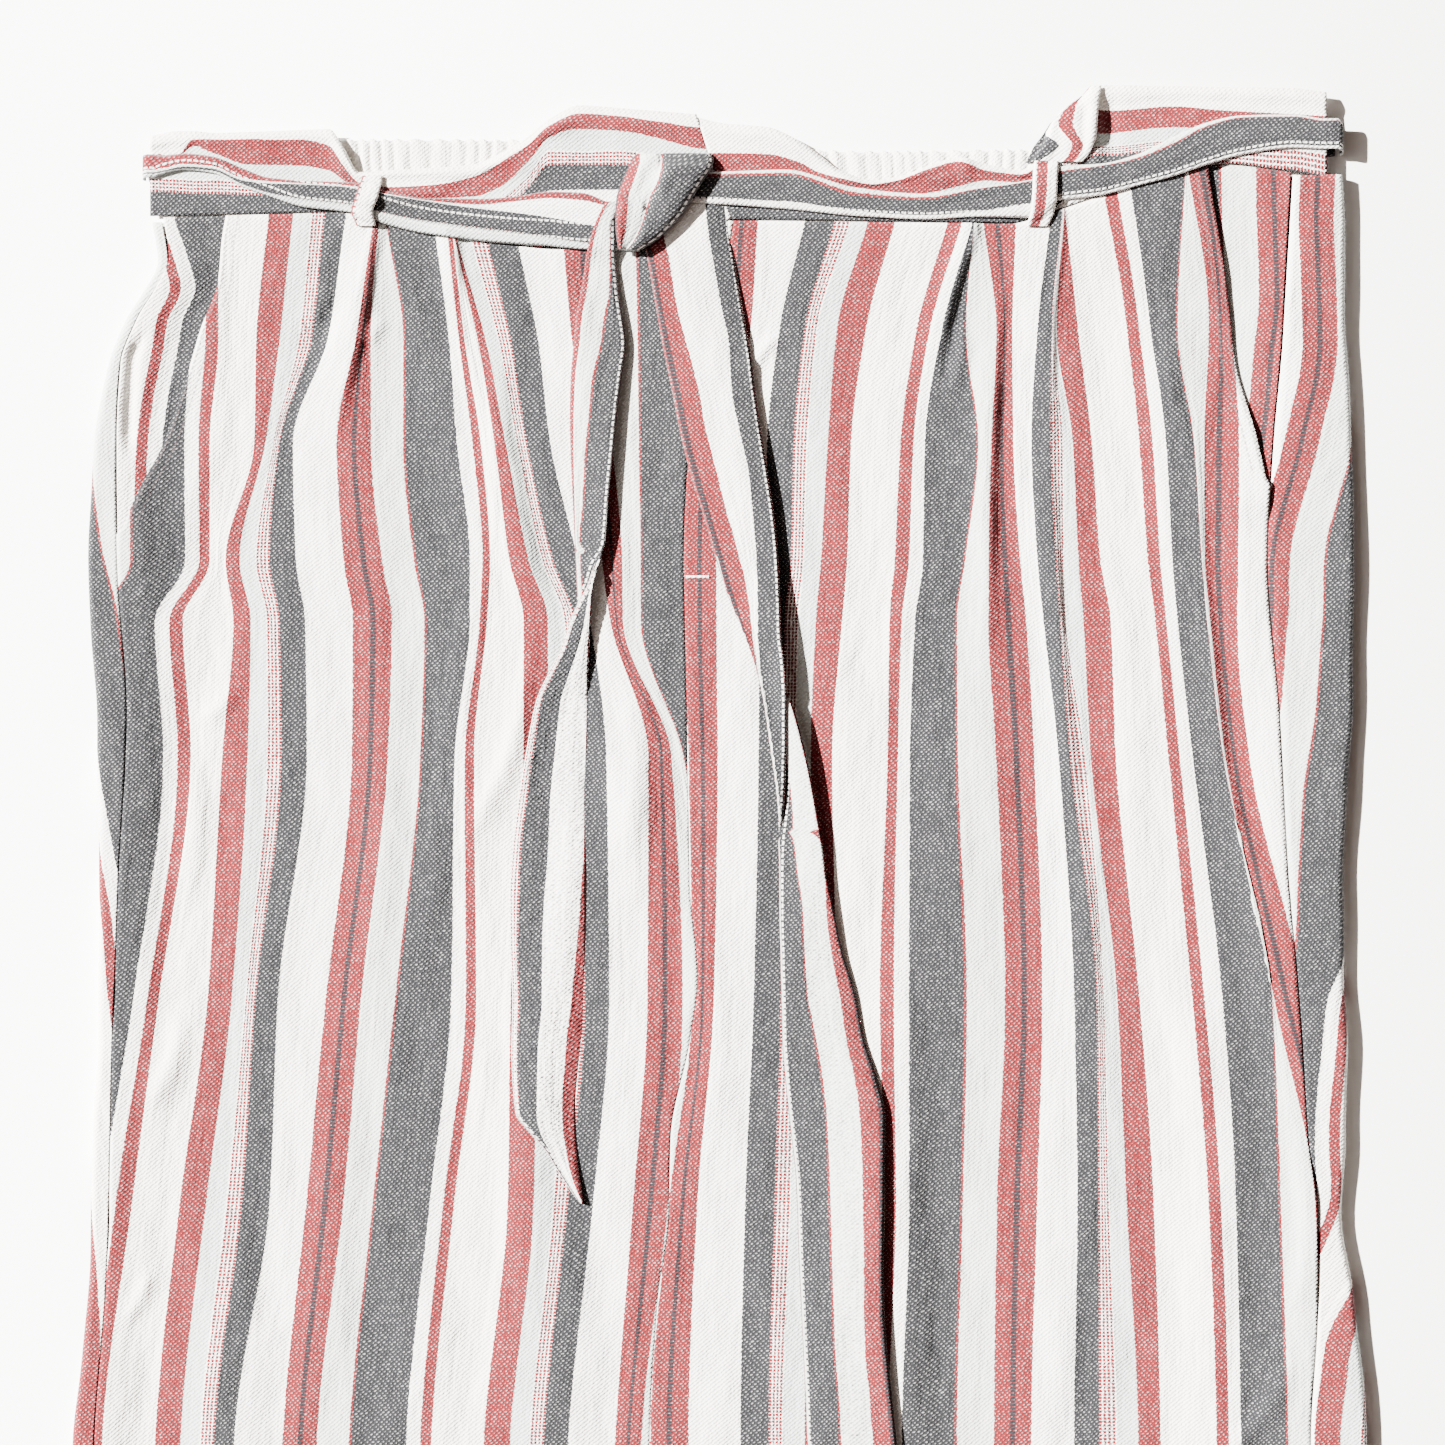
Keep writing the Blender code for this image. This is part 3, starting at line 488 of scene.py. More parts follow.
# %% [markdown]
# The woven finish. A colour ramp holds the flat stripes of one repeat, and a second ramp holds the
# thin dashed lines. Coloured stripes have a white weft, which gives them their speckle. The weave,
# a few thick threads and fine crinkles also give a height for the bump.

# %% The woven stripe group
WHITE = (0.62, 0.60, 0.58)
CREAM = (0.66, 0.625, 0.58)
RIBBED = (0.43, 0.435, 0.42)
MINT = (0.38, 0.40, 0.385)
RED = (0.095, 0.0016, 0.003)
DARK = (0.009, 0.009, 0.0105)
BLACK = (0.006, 0.006, 0.008)
BANDS = ((0, RED), (10.8, MINT), (18.75, WHITE), (25, DARK), (35.4, WHITE), (51.25, RED), (65.8, RIBBED),
         (80, RED), (81.25, DARK), (102.5, WHITE), (108.3, RED), (112.9, CREAM))
LINES = ((0, WHITE, 0), (18.9, RED, 1), (20.1, RED, 0), (20.5, RED, 1), (21.7, RED, 0), (22.1, RED, 1),
         (23.3, RED, 0), (23.7, RED, 1), (24.9, RED, 0), (57.2, BLACK, 1), (59.6, BLACK, 0))
# The twill lines of the weave, in radians a metre, and how far they wander
TWILL_ACROSS, TWILL_UP, TWILL_DRIFT = 3000.0, 3700.0, 9.0


def group_tree(name, inputs, outputs):
    """An empty node group with named sockets."""
    tree = bpy.data.node_groups.new(name, "ShaderNodeTree")
    for title, kind, value in inputs:
        socket = tree.interface.new_socket(title, in_out="INPUT", socket_type="NodeSocket" + kind)
        if value is not None:
            socket.default_value = value
    for title, kind in outputs:
        tree.interface.new_socket(title, in_out="OUTPUT", socket_type="NodeSocket" + kind)
    return tree, tree.nodes.new("NodeGroupInput"), tree.nodes.new("NodeGroupOutput")


def value_of(tree, operation, *inputs):
    """A math node, fed by sockets or numbers."""
    node = tree.nodes.new("ShaderNodeMath")
    node.operation = operation
    for k, given in enumerate(inputs):
        if isinstance(given, (int, float)):
            node.inputs[k].default_value = given
        else:
            tree.links.new(given, node.inputs[k])
    return node.outputs[0]


def blend_of(tree, share, first, second):
    """A colour mix, fed by sockets or colours."""
    node = tree.nodes.new("ShaderNodeMix")
    node.data_type = "RGBA"
    for k, given in ((0, share), (6, first), (7, second)):
        if isinstance(given, tuple):
            node.inputs[k].default_value = (*given, 1.0)
        elif isinstance(given, (int, float)):
            node.inputs[k].default_value = given
        else:
            tree.links.new(given, node.inputs[k])
    return node.outputs[2]


def ramp_of(tree, position, stops):
    """A colour ramp with hard steps, as dyed threads have."""
    node = tree.nodes.new("ShaderNodeValToRGB")
    ramp = node.color_ramp
    ramp.interpolation = "CONSTANT"
    for k, (start, colour, alpha) in enumerate(stops):
        stop = ramp.elements[0] if k == 0 else ramp.elements.new(start / REPEAT)
        if k == 0:
            ramp.elements.remove(ramp.elements[1])
        stop.position = start / REPEAT
        stop.color = (*colour, alpha)
    tree.links.new(position, node.inputs[0])
    return node


def noise_of(tree, vector, scale, detail=2.0, stretch=None):
    """Noise in threads or crinkles, stretched along the cloth if asked."""
    if stretch is not None:
        mapping = tree.nodes.new("ShaderNodeMapping")
        mapping.inputs["Scale"].default_value = stretch
        tree.links.new(vector, mapping.inputs["Vector"])
        vector = mapping.outputs[0]
    node = tree.nodes.new("ShaderNodeTexNoise")
    node.inputs["Scale"].default_value = scale
    node.inputs["Detail"].default_value = detail
    tree.links.new(vector, node.inputs["Vector"])
    return node.outputs[0]


def woven_group():
    tree, given, put = group_tree("woven_stripes",
                                  (("Cloth", "Vector", None), ("Place", "Vector", None), ("Striped", "Float", 1.0),
                                   ("Plain", "Color", (*CREAM, 1.0))),
                                  (("Color", "Color"), ("Height", "Float")))
    place_on = given.outputs["Cloth"]
    split = tree.nodes.new("ShaderNodeSeparateXYZ")
    tree.links.new(place_on, split.inputs[0])
    s, t = split.outputs[0], split.outputs[1]
    ragged = noise_of(tree, place_on, 900, 0)
    moved = value_of(tree, "MULTIPLY_ADD", value_of(tree, "SUBTRACT", ragged, 0.5), 0.0009, s)
    repeat = value_of(tree, "FRACT", value_of(tree, "ADD", value_of(tree, "DIVIDE", moved, REPEAT * MM), 4.0))
    bands = ramp_of(tree, repeat, [(start, colour, 1.0) for start, colour in BANDS])
    lines = ramp_of(tree, repeat, LINES)
    dash = value_of(tree, "GREATER_THAN", value_of(tree, "SINE", value_of(tree, "MULTIPLY", t, 4400.0)), -0.86)
    line_share = value_of(tree, "MULTIPLY", lines.outputs[1], dash)
    striped = blend_of(tree, line_share, bands.outputs[0], lines.outputs[0])
    base = blend_of(tree, given.outputs["Striped"], given.outputs["Plain"], striped)
    drift = value_of(tree, "MULTIPLY", noise_of(tree, place_on, 34, 1), TWILL_DRIFT)
    uneven = value_of(tree, "MULTIPLY", noise_of(tree, place_on, 800, 0), 3.0)
    wander = value_of(tree, "ADD", drift, uneven)
    lies = tree.nodes.new("ShaderNodeSeparateXYZ")
    tree.links.new(given.outputs["Place"], lies.inputs[0])
    over = value_of(tree, "MULTIPLY_ADD", lies.outputs[2], 0.6, lies.outputs[0])
    up_by = value_of(tree, "MULTIPLY_ADD", lies.outputs[2], 0.6, lies.outputs[1])
    along = value_of(tree, "MULTIPLY_ADD", over, TWILL_ACROSS, value_of(tree, "MULTIPLY", up_by, -TWILL_UP))
    against = value_of(tree, "MULTIPLY_ADD", over, TWILL_ACROSS * 0.9, value_of(tree, "MULTIPLY", up_by, TWILL_UP * 0.7))
    ribs = value_of(tree, "SINE", value_of(tree, "ADD", along, wander))
    dots = value_of(tree, "SINE", value_of(tree, "ADD", against, wander))
    slub = noise_of(tree, place_on, 1500, 1, (1.0, 0.07, 1.0))
    pick = noise_of(tree, place_on, 1300, 1, (0.08, 1.0, 1.0))
    threads = value_of(tree, "SUBTRACT", value_of(tree, "ADD", slub, pick), 1.0)
    fleck = value_of(tree, "ADD", value_of(tree, "MULTIPLY_ADD", ribs, 0.62, value_of(tree, "MULTIPLY", dots, 0.34)),
                     value_of(tree, "MULTIPLY", threads, 0.9))
    fleck_share = value_of(tree, "ADD", value_of(tree, "MULTIPLY", fleck, 0.62), -0.285)
    fleck_share = value_of(tree, "MINIMUM", value_of(tree, "MAXIMUM", fleck_share, 0.0), 0.92)
    dyed = value_of(tree, "MULTIPLY_ADD", value_of(tree, "MULTIPLY", line_share, given.outputs["Striped"]), -1.0, 1.0)
    fleck_share = value_of(tree, "MULTIPLY", fleck_share, dyed)
    flecked = blend_of(tree, fleck_share, base, WHITE)
    shade = value_of(tree, "ADD", 1.0, value_of(tree, "MULTIPLY", fleck, 0.09))
    tint = tree.nodes.new("ShaderNodeVectorMath")
    tint.operation = "SCALE"
    tree.links.new(flecked, tint.inputs[0])
    tree.links.new(shade, tint.inputs["Scale"])
    tree.links.new(tint.outputs[0], put.inputs["Color"])
    crinkle = noise_of(tree, place_on, 60, 4, (1.0, 0.5, 1.0))
    cords = noise_of(tree, place_on, 420, 1, (1.0, 0.06, 1.0))
    height = value_of(tree, "ADD", value_of(tree, "MULTIPLY", fleck, 0.00016),
                      value_of(tree, "ADD", value_of(tree, "MULTIPLY", crinkle, 0.0030),
                               value_of(tree, "MULTIPLY", cords, 0.00035)))
    tree.links.new(height, put.inputs["Height"])
    return tree


def stitch_group():
    """Rows of stitches at a distance in from a sewn edge."""
    tree, given, put = group_tree("stitches",
                                  (("Edge", "Vector", None), ("Inset", "Float", 0.0015), ("Pitch", "Float", 0.0026)),
                                  (("Mask", "Float"), ("Height", "Float")))
    split = tree.nodes.new("ShaderNodeSeparateXYZ")
    tree.links.new(given.outputs["Edge"], split.inputs[0])
    away = value_of(tree, "ABSOLUTE", value_of(tree, "SUBTRACT", split.outputs[1], given.outputs["Inset"]))
    on_line = value_of(tree, "LESS_THAN", away, 0.00042)
    beat = value_of(tree, "FRACT", value_of(tree, "ADD", value_of(tree, "DIVIDE", split.outputs[0],
                                                                  given.outputs["Pitch"]), 200.0))
    mask = value_of(tree, "MULTIPLY", on_line, value_of(tree, "LESS_THAN", beat, 0.68))
    tree.links.new(mask, put.inputs["Mask"])
    dip = value_of(tree, "MULTIPLY", value_of(tree, "LESS_THAN", away, 0.0011), -0.0003)
    tree.links.new(value_of(tree, "ADD", dip, value_of(tree, "MULTIPLY", mask, 0.0003)), put.inputs["Height"])
    return tree


WOVEN = woven_group()
STITCHES = stitch_group()
THREAD = (0.55, 0.52, 0.50)
DARK_THREAD = (0.07, 0.05, 0.05)


def woven(name, insets=(), striped=1.0, plain=CREAM, pitch=0.0026, thread=THREAD, show=1.0):
    """Woven cotton with rows of stitches at some distances in from the sewn edge, in metres."""
    finish = bpy.data.materials.new(name)
    finish.use_nodes = True
    tree = finish.node_tree
    shader = tree.nodes["Principled BSDF"]
    shader.inputs["Roughness"].default_value = 0.9
    shader.inputs["Specular IOR Level"].default_value = 0.25
    shader.inputs["Sheen Weight"].default_value = 0.12
    maps = {}
    for title in ("cloth", "edge"):
        maps[title] = tree.nodes.new("ShaderNodeUVMap")
        maps[title].uv_map = title
    weave = tree.nodes.new("ShaderNodeGroup")
    weave.node_tree = WOVEN
    tree.links.new(tree.nodes.new("ShaderNodeTexCoord").outputs["Object"], weave.inputs["Place"])
    weave.inputs["Striped"].default_value = striped
    weave.inputs["Plain"].default_value = (*plain, 1.0)
    tree.links.new(maps["cloth"].outputs[0], weave.inputs["Cloth"])
    colour, height = weave.outputs["Color"], weave.outputs["Height"]
    for inset in insets:
        row = tree.nodes.new("ShaderNodeGroup")
        row.node_tree = STITCHES
        row.inputs["Inset"].default_value = inset
        row.inputs["Pitch"].default_value = pitch
        tree.links.new(maps["edge"].outputs[0], row.inputs["Edge"])
        colour = blend_of(tree, value_of(tree, "MULTIPLY", row.outputs["Mask"], show), colour, thread)
        height = value_of(tree, "ADD", height, row.outputs["Height"])
    bump = tree.nodes.new("ShaderNodeBump")
    bump.inputs["Distance"].default_value = 1.0
    bump.inputs["Strength"].default_value = 0.8
    tree.links.new(height, bump.inputs["Height"])
    tree.links.new(colour, shader.inputs["Base Color"])
    tree.links.new(bump.outputs[0], shader.inputs["Normal"])
    return finish

# %% [markdown]
# The two fronts. Their columns are evenly spaced over the cloth, not over the floor. So the cloth
# that a pleat takes in crowds into the pleat, as it does when a maker folds it.

# %% Fronts
WAIST_ROWS = 28
BODY_ROWS = 178
LEG_ROWS = 76
FRONT_COLUMNS = 160
SAMPLES = 900
LAST = -500
CROP = -70
NO_STITCH = 900
TUCKED_UP = 4.4
CENTRE_GAP = -0.08


def panel_levels(last):
    """Nominal levels of a panel's rows, and the share of the curved stretch at the waist."""
    share = np.linspace(0, 1, WAIST_ROWS)
    top = WAIST_LEVEL + (WAIST_START - WAIST_LEVEL) * share
    if last > CROP:
        return np.concatenate((top, np.linspace(WAIST_START, last, BODY_ROWS // 2)[1:])), share
    body_part = np.linspace(WAIST_START, CROP, BODY_ROWS)[1:]
    leg = np.linspace(CROP, last, LEG_ROWS)[1:]
    return np.concatenate((top, body_part, leg)), share


def curved(levels, share, x, top):
    """True levels of a panel's points: the first rows follow the curved top edge."""
    y = np.repeat(levels[:, None], x.shape[1], axis=1)
    start = len(share)
    y[:start] = top[:start] + (WAIST_START - top[:start]) * share[:, None]
    return y


def centre_gap(levels):
    """Half the gap between the two legs: a sewn seam above, and open below the crotch."""
    gap = body("gap", levels) / 2
    return np.where(gap < 0.4, CENTRE_GAP, gap)


def front_edges(side, levels):
    """The two edges of a front: pocket and side seam, and the centre seam or inseam."""
    outer = body("seam_r" if side == "right" else "seam_l", levels)
    pocket = read(POCKET, side, levels)
    open_part = levels > POCKET_END[side] - 2
    if side == "right":
        outer = np.where(open_part, np.maximum(outer, pocket), outer)
        return outer + 0.15, body("centre", levels) - centre_gap(levels)
    outer = np.where(open_part, np.minimum(outer, pocket), outer)
    return body("centre", levels) + centre_gap(levels), outer - 0.15


def make_front(side):
    levels, share = panel_levels(LAST)
    edges = stripe_edges(side, levels)
    keys = np.array(CHART[side][1])
    low, high = front_edges(side, levels)
    dense = np.linspace(-90, 330, SAMPLES)
    x = np.empty((len(levels), FRONT_COLUMNS + 1))
    s = np.empty_like(x)
    for i in range(len(levels)):
        placed = curve(keys, edges[i], dense, 1.0)
        ends = np.interp((low[i], high[i]), placed, dense)
        s[i] = np.linspace(*ends, FRONT_COLUMNS + 1)
        x[i] = np.interp(s[i], dense, placed)
    y = curved(levels, share, x, seam_at(x) - 0.5)
    z = front_height(side, x, y)
    if side == "left":
        s = LEFT_START - s
    inward = np.abs(x - (low if side == "right" else high)[:, None]) + NO_STITCH * (y < POCKET_END[side])
    inner_edge = np.abs(x - (high if side == "right" else low)[:, None])
    middle = body("centre", y)
    common = (front_height("right", middle, y) + front_height("left", middle, y)) / 2
    z = z + (common - z) * (1 - ease(0, 9, inner_edge)) * (y > CROP)
    points = np.stack((x, y, z), axis=-1)
    return lay(side + "_front_cloth", points, np.stack((s, y), axis=-1), np.stack((y, inward), axis=-1), 0.7)


FRONT_FINISH = woven("striped_cotton_front", insets=(0.0014, 0.0052), thread=DARK_THREAD, show=0.5)
fronts = {}
for side in ("right", "left"):
    fronts[side] = make_front(side)
    place(fronts[side], [side + "_front"], "striped_cotton", FRONT_FINISH)
    print(side, "front:", len(fronts[side].data.vertices), "points")

# %% [markdown]
# Each back lies flat on the floor, rolls round the side and comes up to the side seam, so a strip
# of it shows beside the front. Its stripes are charted by the stripe that meets the seam.

# %% Backs
BACK_STRIPE = table("BackStripe", "pixel right left", """
    160 66.0 49.0
    250 66.0 48.2
    350 66.5 43.3
    443 69.0 47.0
    500 71.5 52.5
    550 74.4 56.6
    610 79.2 58.3
    650 80.3 61.1
    700 82.0 65.0
    750 90.0 68.8
    800 95.0 72.8
    850 100.0 75.3
    900 105.0 77.7
    950 108.5 81.0
    1000 111.3 91.2
    1050 114.5 95.4
    1100 118.5 98.3
    1150 122.5 100.8
    1190 125.6 102.5
    1250 129.0 112.0
    1350 134.0 131.0
    1445 135.2 133.0
    2488 139.0 137.0
""")
BACK_BAND = table("BackBand", "x low high", """
    -234 445 477
    -130 446 478
    0 445 476
    60 444 473
    130 447 474
    180 457 484
    250 460.5 494
""")
BACK_FLAT = 56
BACK_ROLL = 20
HIDDEN_GAP = 1.6


def make_back(side):
    sign = SIGN[side]
    levels, share = panel_levels(LAST)
    levels = np.concatenate((levels[:WAIST_ROWS], levels[WAIST_ROWS::2], [float(LAST)]))
    out = body("out_r" if side == "right" else "out_l", levels)
    seam = body("seam_r" if side == "right" else "seam_l", levels)
    inner = body("centre", levels) + sign * body("gap", levels) / 2
    low, top = back_floor(levels), side_top(levels)
    radius = (top - low) / 2
    middle = out - sign * radius
    flat = np.linspace(0, 1, BACK_FLAT + 1)[None, :-1]
    x_flat = inner[:, None] + (middle - inner)[:, None] * flat
    z_flat = np.repeat(low[:, None], BACK_FLAT, axis=1)
    turn = np.pi * (np.linspace(0, 1, BACK_ROLL + 1) - 0.5)
    x_roll = middle[:, None] + sign * radius[:, None] * np.cos(turn)
    z_roll = low[:, None] + radius[:, None] * (1 + np.sin(turn))
    end = (seam + sign * 0.15)[:, None]
    last_roll = x_roll[:, -1:]
    x_end = last_roll + (end - last_roll) * np.linspace(0, 1, 9)[None, 1:]
    z_end = np.repeat(top[:, None], 8, axis=1)
    x = np.concatenate((x_flat, x_roll, x_end), axis=1)
    z = np.concatenate((z_flat, z_roll, z_end), axis=1)
    raised = TUCKED_UP * ease(across(1268), across(1288), x)
    y = curved(levels, share, x, curve([r.x for r in BACK_BAND], [r.low for r in BACK_BAND], x) - HIDDEN_GAP + raised)
    step = np.hypot(np.diff(x, axis=1), np.diff(z, axis=1))
    from_inner = np.concatenate((np.zeros((len(levels), 1)), np.cumsum(step, axis=1)), axis=1)
    from_seam = from_inner[:, -1:] - from_inner
    pixel = PHOTO_Y - PIXELS * levels
    s = read(BACK_STRIPE, side, pixel, "pixel")[:, None] + from_seam
    under = z < low[:, None] + 0.2
    troughs = 0.35 + unevenness(x, y, 2.0) + crease_height(x * 0.9 + 20, y * 0.95 - 15) * 0.5
    z = z + np.where(under, np.clip(troughs, 0.0, 1.1) * ease(0, 14, np.abs(x - middle[:, None])), 0.0)
    rolled = np.arange(x.shape[1])[None, :] > BACK_FLAT + 6
    z = z + np.where(rolled, 0.35 * np.sin(y / 11 + x / 5) * np.sin(y / 31 + 1), 0)
    x = x + np.where(rolled & (from_seam > 2), 0.35 * np.sin(y / 9) * np.sin(y / 41 + 2), 0)
    points = np.stack((x, y, z), axis=-1)
    return lay(side + "_back_cloth", points, np.stack((s, y), axis=-1), np.stack((y, from_seam), axis=-1), 0.7, looks=-1)


backs = {}
BACK_FINISH = woven("striped_cotton_back", insets=())
for side in ("right", "left"):
    backs[side] = make_back(side)
    place(backs[side], [side + "_back"], "striped_cotton", BACK_FINISH)
    print(side, "back:", len(backs[side].data.vertices), "points")

# %% [markdown]
# Inside each slant pocket lies a striped facing. Its stripes run the other way round from the
# front's. Along the side seam it sinks, and the rolled side throws a shadow into it.

# %% Pocket facings
FACING_RIGHT = table("FacingRight", "pixel edge", """
    160 158
    220 163
    250 173
    290 183
    300 180
    320 170
    350 165
    400 155
    440 150
    484 148
    560 146
""")
FACING_LEFT = table("FacingLeft", "pixel edge", """
    100 1272
    200 1273
    300 1276
    350 1271
    400 1266.7
    440 1262
    500 1254
    560 1246
""")
FACING_KEY = {"right": 108.3, "left": 58.4}
FACING_ROWS = {"right": FACING_RIGHT, "left": FACING_LEFT}
FACING_COLUMNS = 56


def make_facing(side):
    sign = SIGN[side]
    levels, share = panel_levels(POCKET_END[side] - 14)
    edge = read(POCKET, side, levels) - sign * 15
    seam = body("seam_r" if side == "right" else "seam_l", levels) - sign * 0.5
    part = np.linspace(0, 1, FACING_COLUMNS + 1)[None, :]
    x = edge[:, None] + (seam - edge)[:, None] * part
    y = curved(levels, share, x, seam_at(x) - 0.5)
    z = facing_height(side, x, np.minimum(y, WAIST_LEVEL))
    away = seam_distance(side, x, y)
    pixel = PHOTO_Y - PIXELS * y
    depth = 2.3 if side == "right" else 0.8
    trough = depth * np.exp(-((away - 5.2) / 2.6) ** 2) * ease(330, 352, pixel) * (1 - ease(430, 462, pixel))
    z = z - trough + 0.5 * unevenness(x, y, 4.0)
    s = FACING_KEY[side] - (x - across(read(FACING_ROWS[side], "edge", pixel, "pixel")))
    points = np.stack((x, y, z), axis=-1)
    return lay(side + "_pocket_facing_cloth", points, np.stack((s, y), axis=-1), None, 0.5)


facings = {}
for side in ("right", "left"):
    facings[side] = make_facing(side)
    place(facings[side], [side + "_pocket_facing"], "striped_cotton", BACK_FINISH)
    print(side, "facing:", len(facings[side].data.vertices), "points")

# %% [markdown]
# The front waistband is cut crosswise, so its stripes run along it. Its soft top rolls over and
# slumps towards the belt in two places. The chart gives the level of each stripe edge from the top
# of the band down, in the photograph's pixels.

# %% Front waistband
BAND_S = (-14.0, 0.0, 10.8, 18.75, 25.0)
BAND_RIGHT = table("BandRight", "x top red mint dashes dark seam", """
    152 138 158 159 179 193 218
    180 133 157 158 180 194 217
    195 133 142 147 181 195 217
    215 135 141 154 181 195 217
    250 134 141 166 183 196 216
    300 132 141 167 184 198 215
    330 131 147 172 186 200 214
    345 150 168 182 192 203 216
    360 174 184 196 203 210 222
    390 172 189 200 206 214 228
    430 170 187 200 207 216 234
    475 166 178 198 208 217 243
    500 156 165 189 201 212 242
    530 137 145 162 176 188 240
    550 121 127 139 152 167 236
    580 107 115 130 153 166 232
    620 110 118 132 152 166 227
    697 116 129 150 168 180 227
""")
BAND_LEFT = table("BandLeft", "x top red mint dashes dark seam", """
    697 119 155 178 190 203 226
    722 125 155 176 190 204 223
    767 129 156 177 192 206 223
    799 143 164 180 193 206 222
    818 156 174 184 195 207 222
    840 172 180 188 198 209 222
    872 182 186 192 200 210 222
    900 178 181 197 205 213 222
    930 167 170 194 204 213 222
    958 159 163 188 200 211 222
    985 166 172 182 194 206 221
    1020 172 176 184 192 202 221
    1045 150 160 178 188 198 214
    1060 112 124 152 166 178 205
    1077 104 118 142 154 166 200
    1096 87 112 136 148 157 196
    1117 87 112 134 147 156 190
    1170 88 108 129 142 151 178
    1218 89 112 130 148 167 168
    1290 90 116 132 150 171 172
    1325 94 118 134 155 177 178
""")
BAND_ROWS = 34
BAND_HEM = 7.0


def make_band(side, rows, start, end, lumps):
    spots = np.linspace(start, end, 190)
    fractions = np.linspace(0, 1, BAND_ROWS)
    lean = (5.0 - 14.6 * fractions - CENTRE_MIDDLE)[:, None]
    x = spots[None, :] + lean * (1 - ease(0, 30, np.abs(spots[None, :] - CENTRE_MIDDLE)))
    low = seam_at(x) + 0.15
    high = up(curve([r.x for r in rows], [r.top for r in rows], PHOTO_X + PIXELS * x))
    y = low + (high - low) * fractions[:, None]
    charted = np.stack([up(curve([r.x for r in rows], [r[k] for r in rows], PHOTO_X + PIXELS * x))
                        for k in range(6, 0, -1)], axis=-1)
    charted[..., 0] = low
    charted[..., 5] = high
    charted = np.maximum.accumulate(charted + np.arange(6) * 0.001, axis=-1)
    s = np.empty_like(x)
    for i in range(x.shape[0]):
        for j in range(x.shape[1]):
            at_seam = BAND_S[-1] + charted[i, j, 1] - charted[i, j, 0]
            s[i, j] = np.interp(y[i, j], charted[i, j], (at_seam, *BAND_S[::-1]))
    z = WAIST_TOP - 0.9 * ease(478, 496, y) + 0.35 * unevenness(x * 0.8, y * 1.5, 7.0)
    for px, py, height, wide, tall in lumps:
        z += height * np.exp(-((x - across(px)) / wide) ** 2 - ((y - up(py)) / tall) ** 2)
    roll = ease(0.90, 1.0, fractions)[:, None]
    z = z + 0.7 * np.sin(np.pi * np.clip((fractions[:, None] - 0.82) / 0.18, 0, 1)) - 0.5 * roll
    turn = np.linspace(0.15, 1, 6)[:, None]
    behind = np.stack((np.repeat(x[-1:], 6, 0), y[-1:] + 0.6 * np.sin(np.pi * np.minimum(turn * 1.3, 1)) - BAND_HEM * turn ** 2,
                       z[-1:] - 1.5 * np.sin(0.5 * np.pi * np.minimum(turn * 2, 1))), axis=-1)
    points = np.concatenate((np.stack((x, y, z), axis=-1), behind))
    s = np.concatenate((s, s[-1:] - 1 - BAND_HEM * turn))
    return lay("front_band_" + side + "_cloth", points, np.stack((s, points[..., 0]), axis=-1), None, 0.6)


RIGHT_LUMPS = ((345, 150, 1.6, 5, 12), (400, 196, 2.2, 20, 3.2), (520, 165, 2.0, 14, 5), (560, 130, 1.5, 12, 4),
               (460, 190, -1.0, 10, 3), (250, 150, 0.8, 30, 5), (630, 125, 0.8, 14, 6))
LEFT_LUMPS = ((760, 150, 1.0, 16, 6), (930, 178, 1.8, 12, 4), (965, 165, 1.4, 4, 6), (1070, 125, 1.8, 4, 12),
              (1094, 125, 2.4, 3, 14), (1110, 130, -1.2, 3, 12), (1200, 110, 0.7, 14, 5), (840, 182, 1.0, 14, 3))
bands = {"right": make_band("right", BAND_RIGHT, -236.7, CENTRE_MIDDLE - 0.15, RIGHT_LUMPS),
         "left": make_band("left", BAND_LEFT, CENTRE_MIDDLE + 0.15, 252.1, LEFT_LUMPS)}
BAND_FINISH = woven("striped_cotton_band")
for side in ("right", "left"):
    place(bands[side], ["front_band_" + side], "band_cotton", BAND_FINISH)
    print(side, "band:", len(bands[side].data.vertices), "points")

# %% [markdown]
# The back waistband is plain cream. Elastic gathers it into narrow, uneven ripples.

# %% Back waistband
GATHERS = 76
BAND_COLUMNS = 760


def make_back_band():
    x = np.repeat(np.linspace(-234, 250, BAND_COLUMNS + 1)[None, :], 16, axis=0)
    fraction = np.linspace(0, 1, 16)[:, None]
    low = curve([r.x for r in BACK_BAND], [r.low for r in BACK_BAND], x)
    high = curve([r.x for r in BACK_BAND], [r.high for r in BACK_BAND], x)
    phase = (x + 234) / 484 * GATHERS
    wander = phase + 0.35 * np.sin(phase * 0.9) + 0.25 * np.sin(phase * 0.37 + fraction * 2)
    ripple = np.abs(np.sin(np.pi * wander)) ** 0.7 - 0.5
    y = low + (high - low) * fraction + 0.5 * np.sin(2 * np.pi * wander) * fraction ** 4
    z = 3.1 + 1.15 * ripple * (0.75 + 0.25 * np.sin(phase * 0.61)) + 0.2 * np.sin(np.pi * fraction)
    uv = np.stack((x * 1.6, y), axis=-1)
    return lay("back_band_cloth", np.stack((x, y, z), axis=-1), uv, None, 0.7)


back_band = make_back_band()
place(back_band, ["back_band"], "cream_cotton", woven("cream_cotton_band", striped=0.0))
print("back band:", len(back_band.data.vertices), "points")

# %% [markdown]
# The belt is one long strip, folded and stitched. Each stretch of it that shows is laid on the
# cloth below it. Rays cast down from above find how high that cloth is.

# %% Lay a strip on what is below it
BELT_WALL = 1.6
LAY_GAP = 0.25


def search_trees(pieces):
    bpy.context.view_layer.update()
    scene = bpy.context.evaluated_depsgraph_get()
    return [BVHTree.FromObject(piece, scene) for piece in pieces]


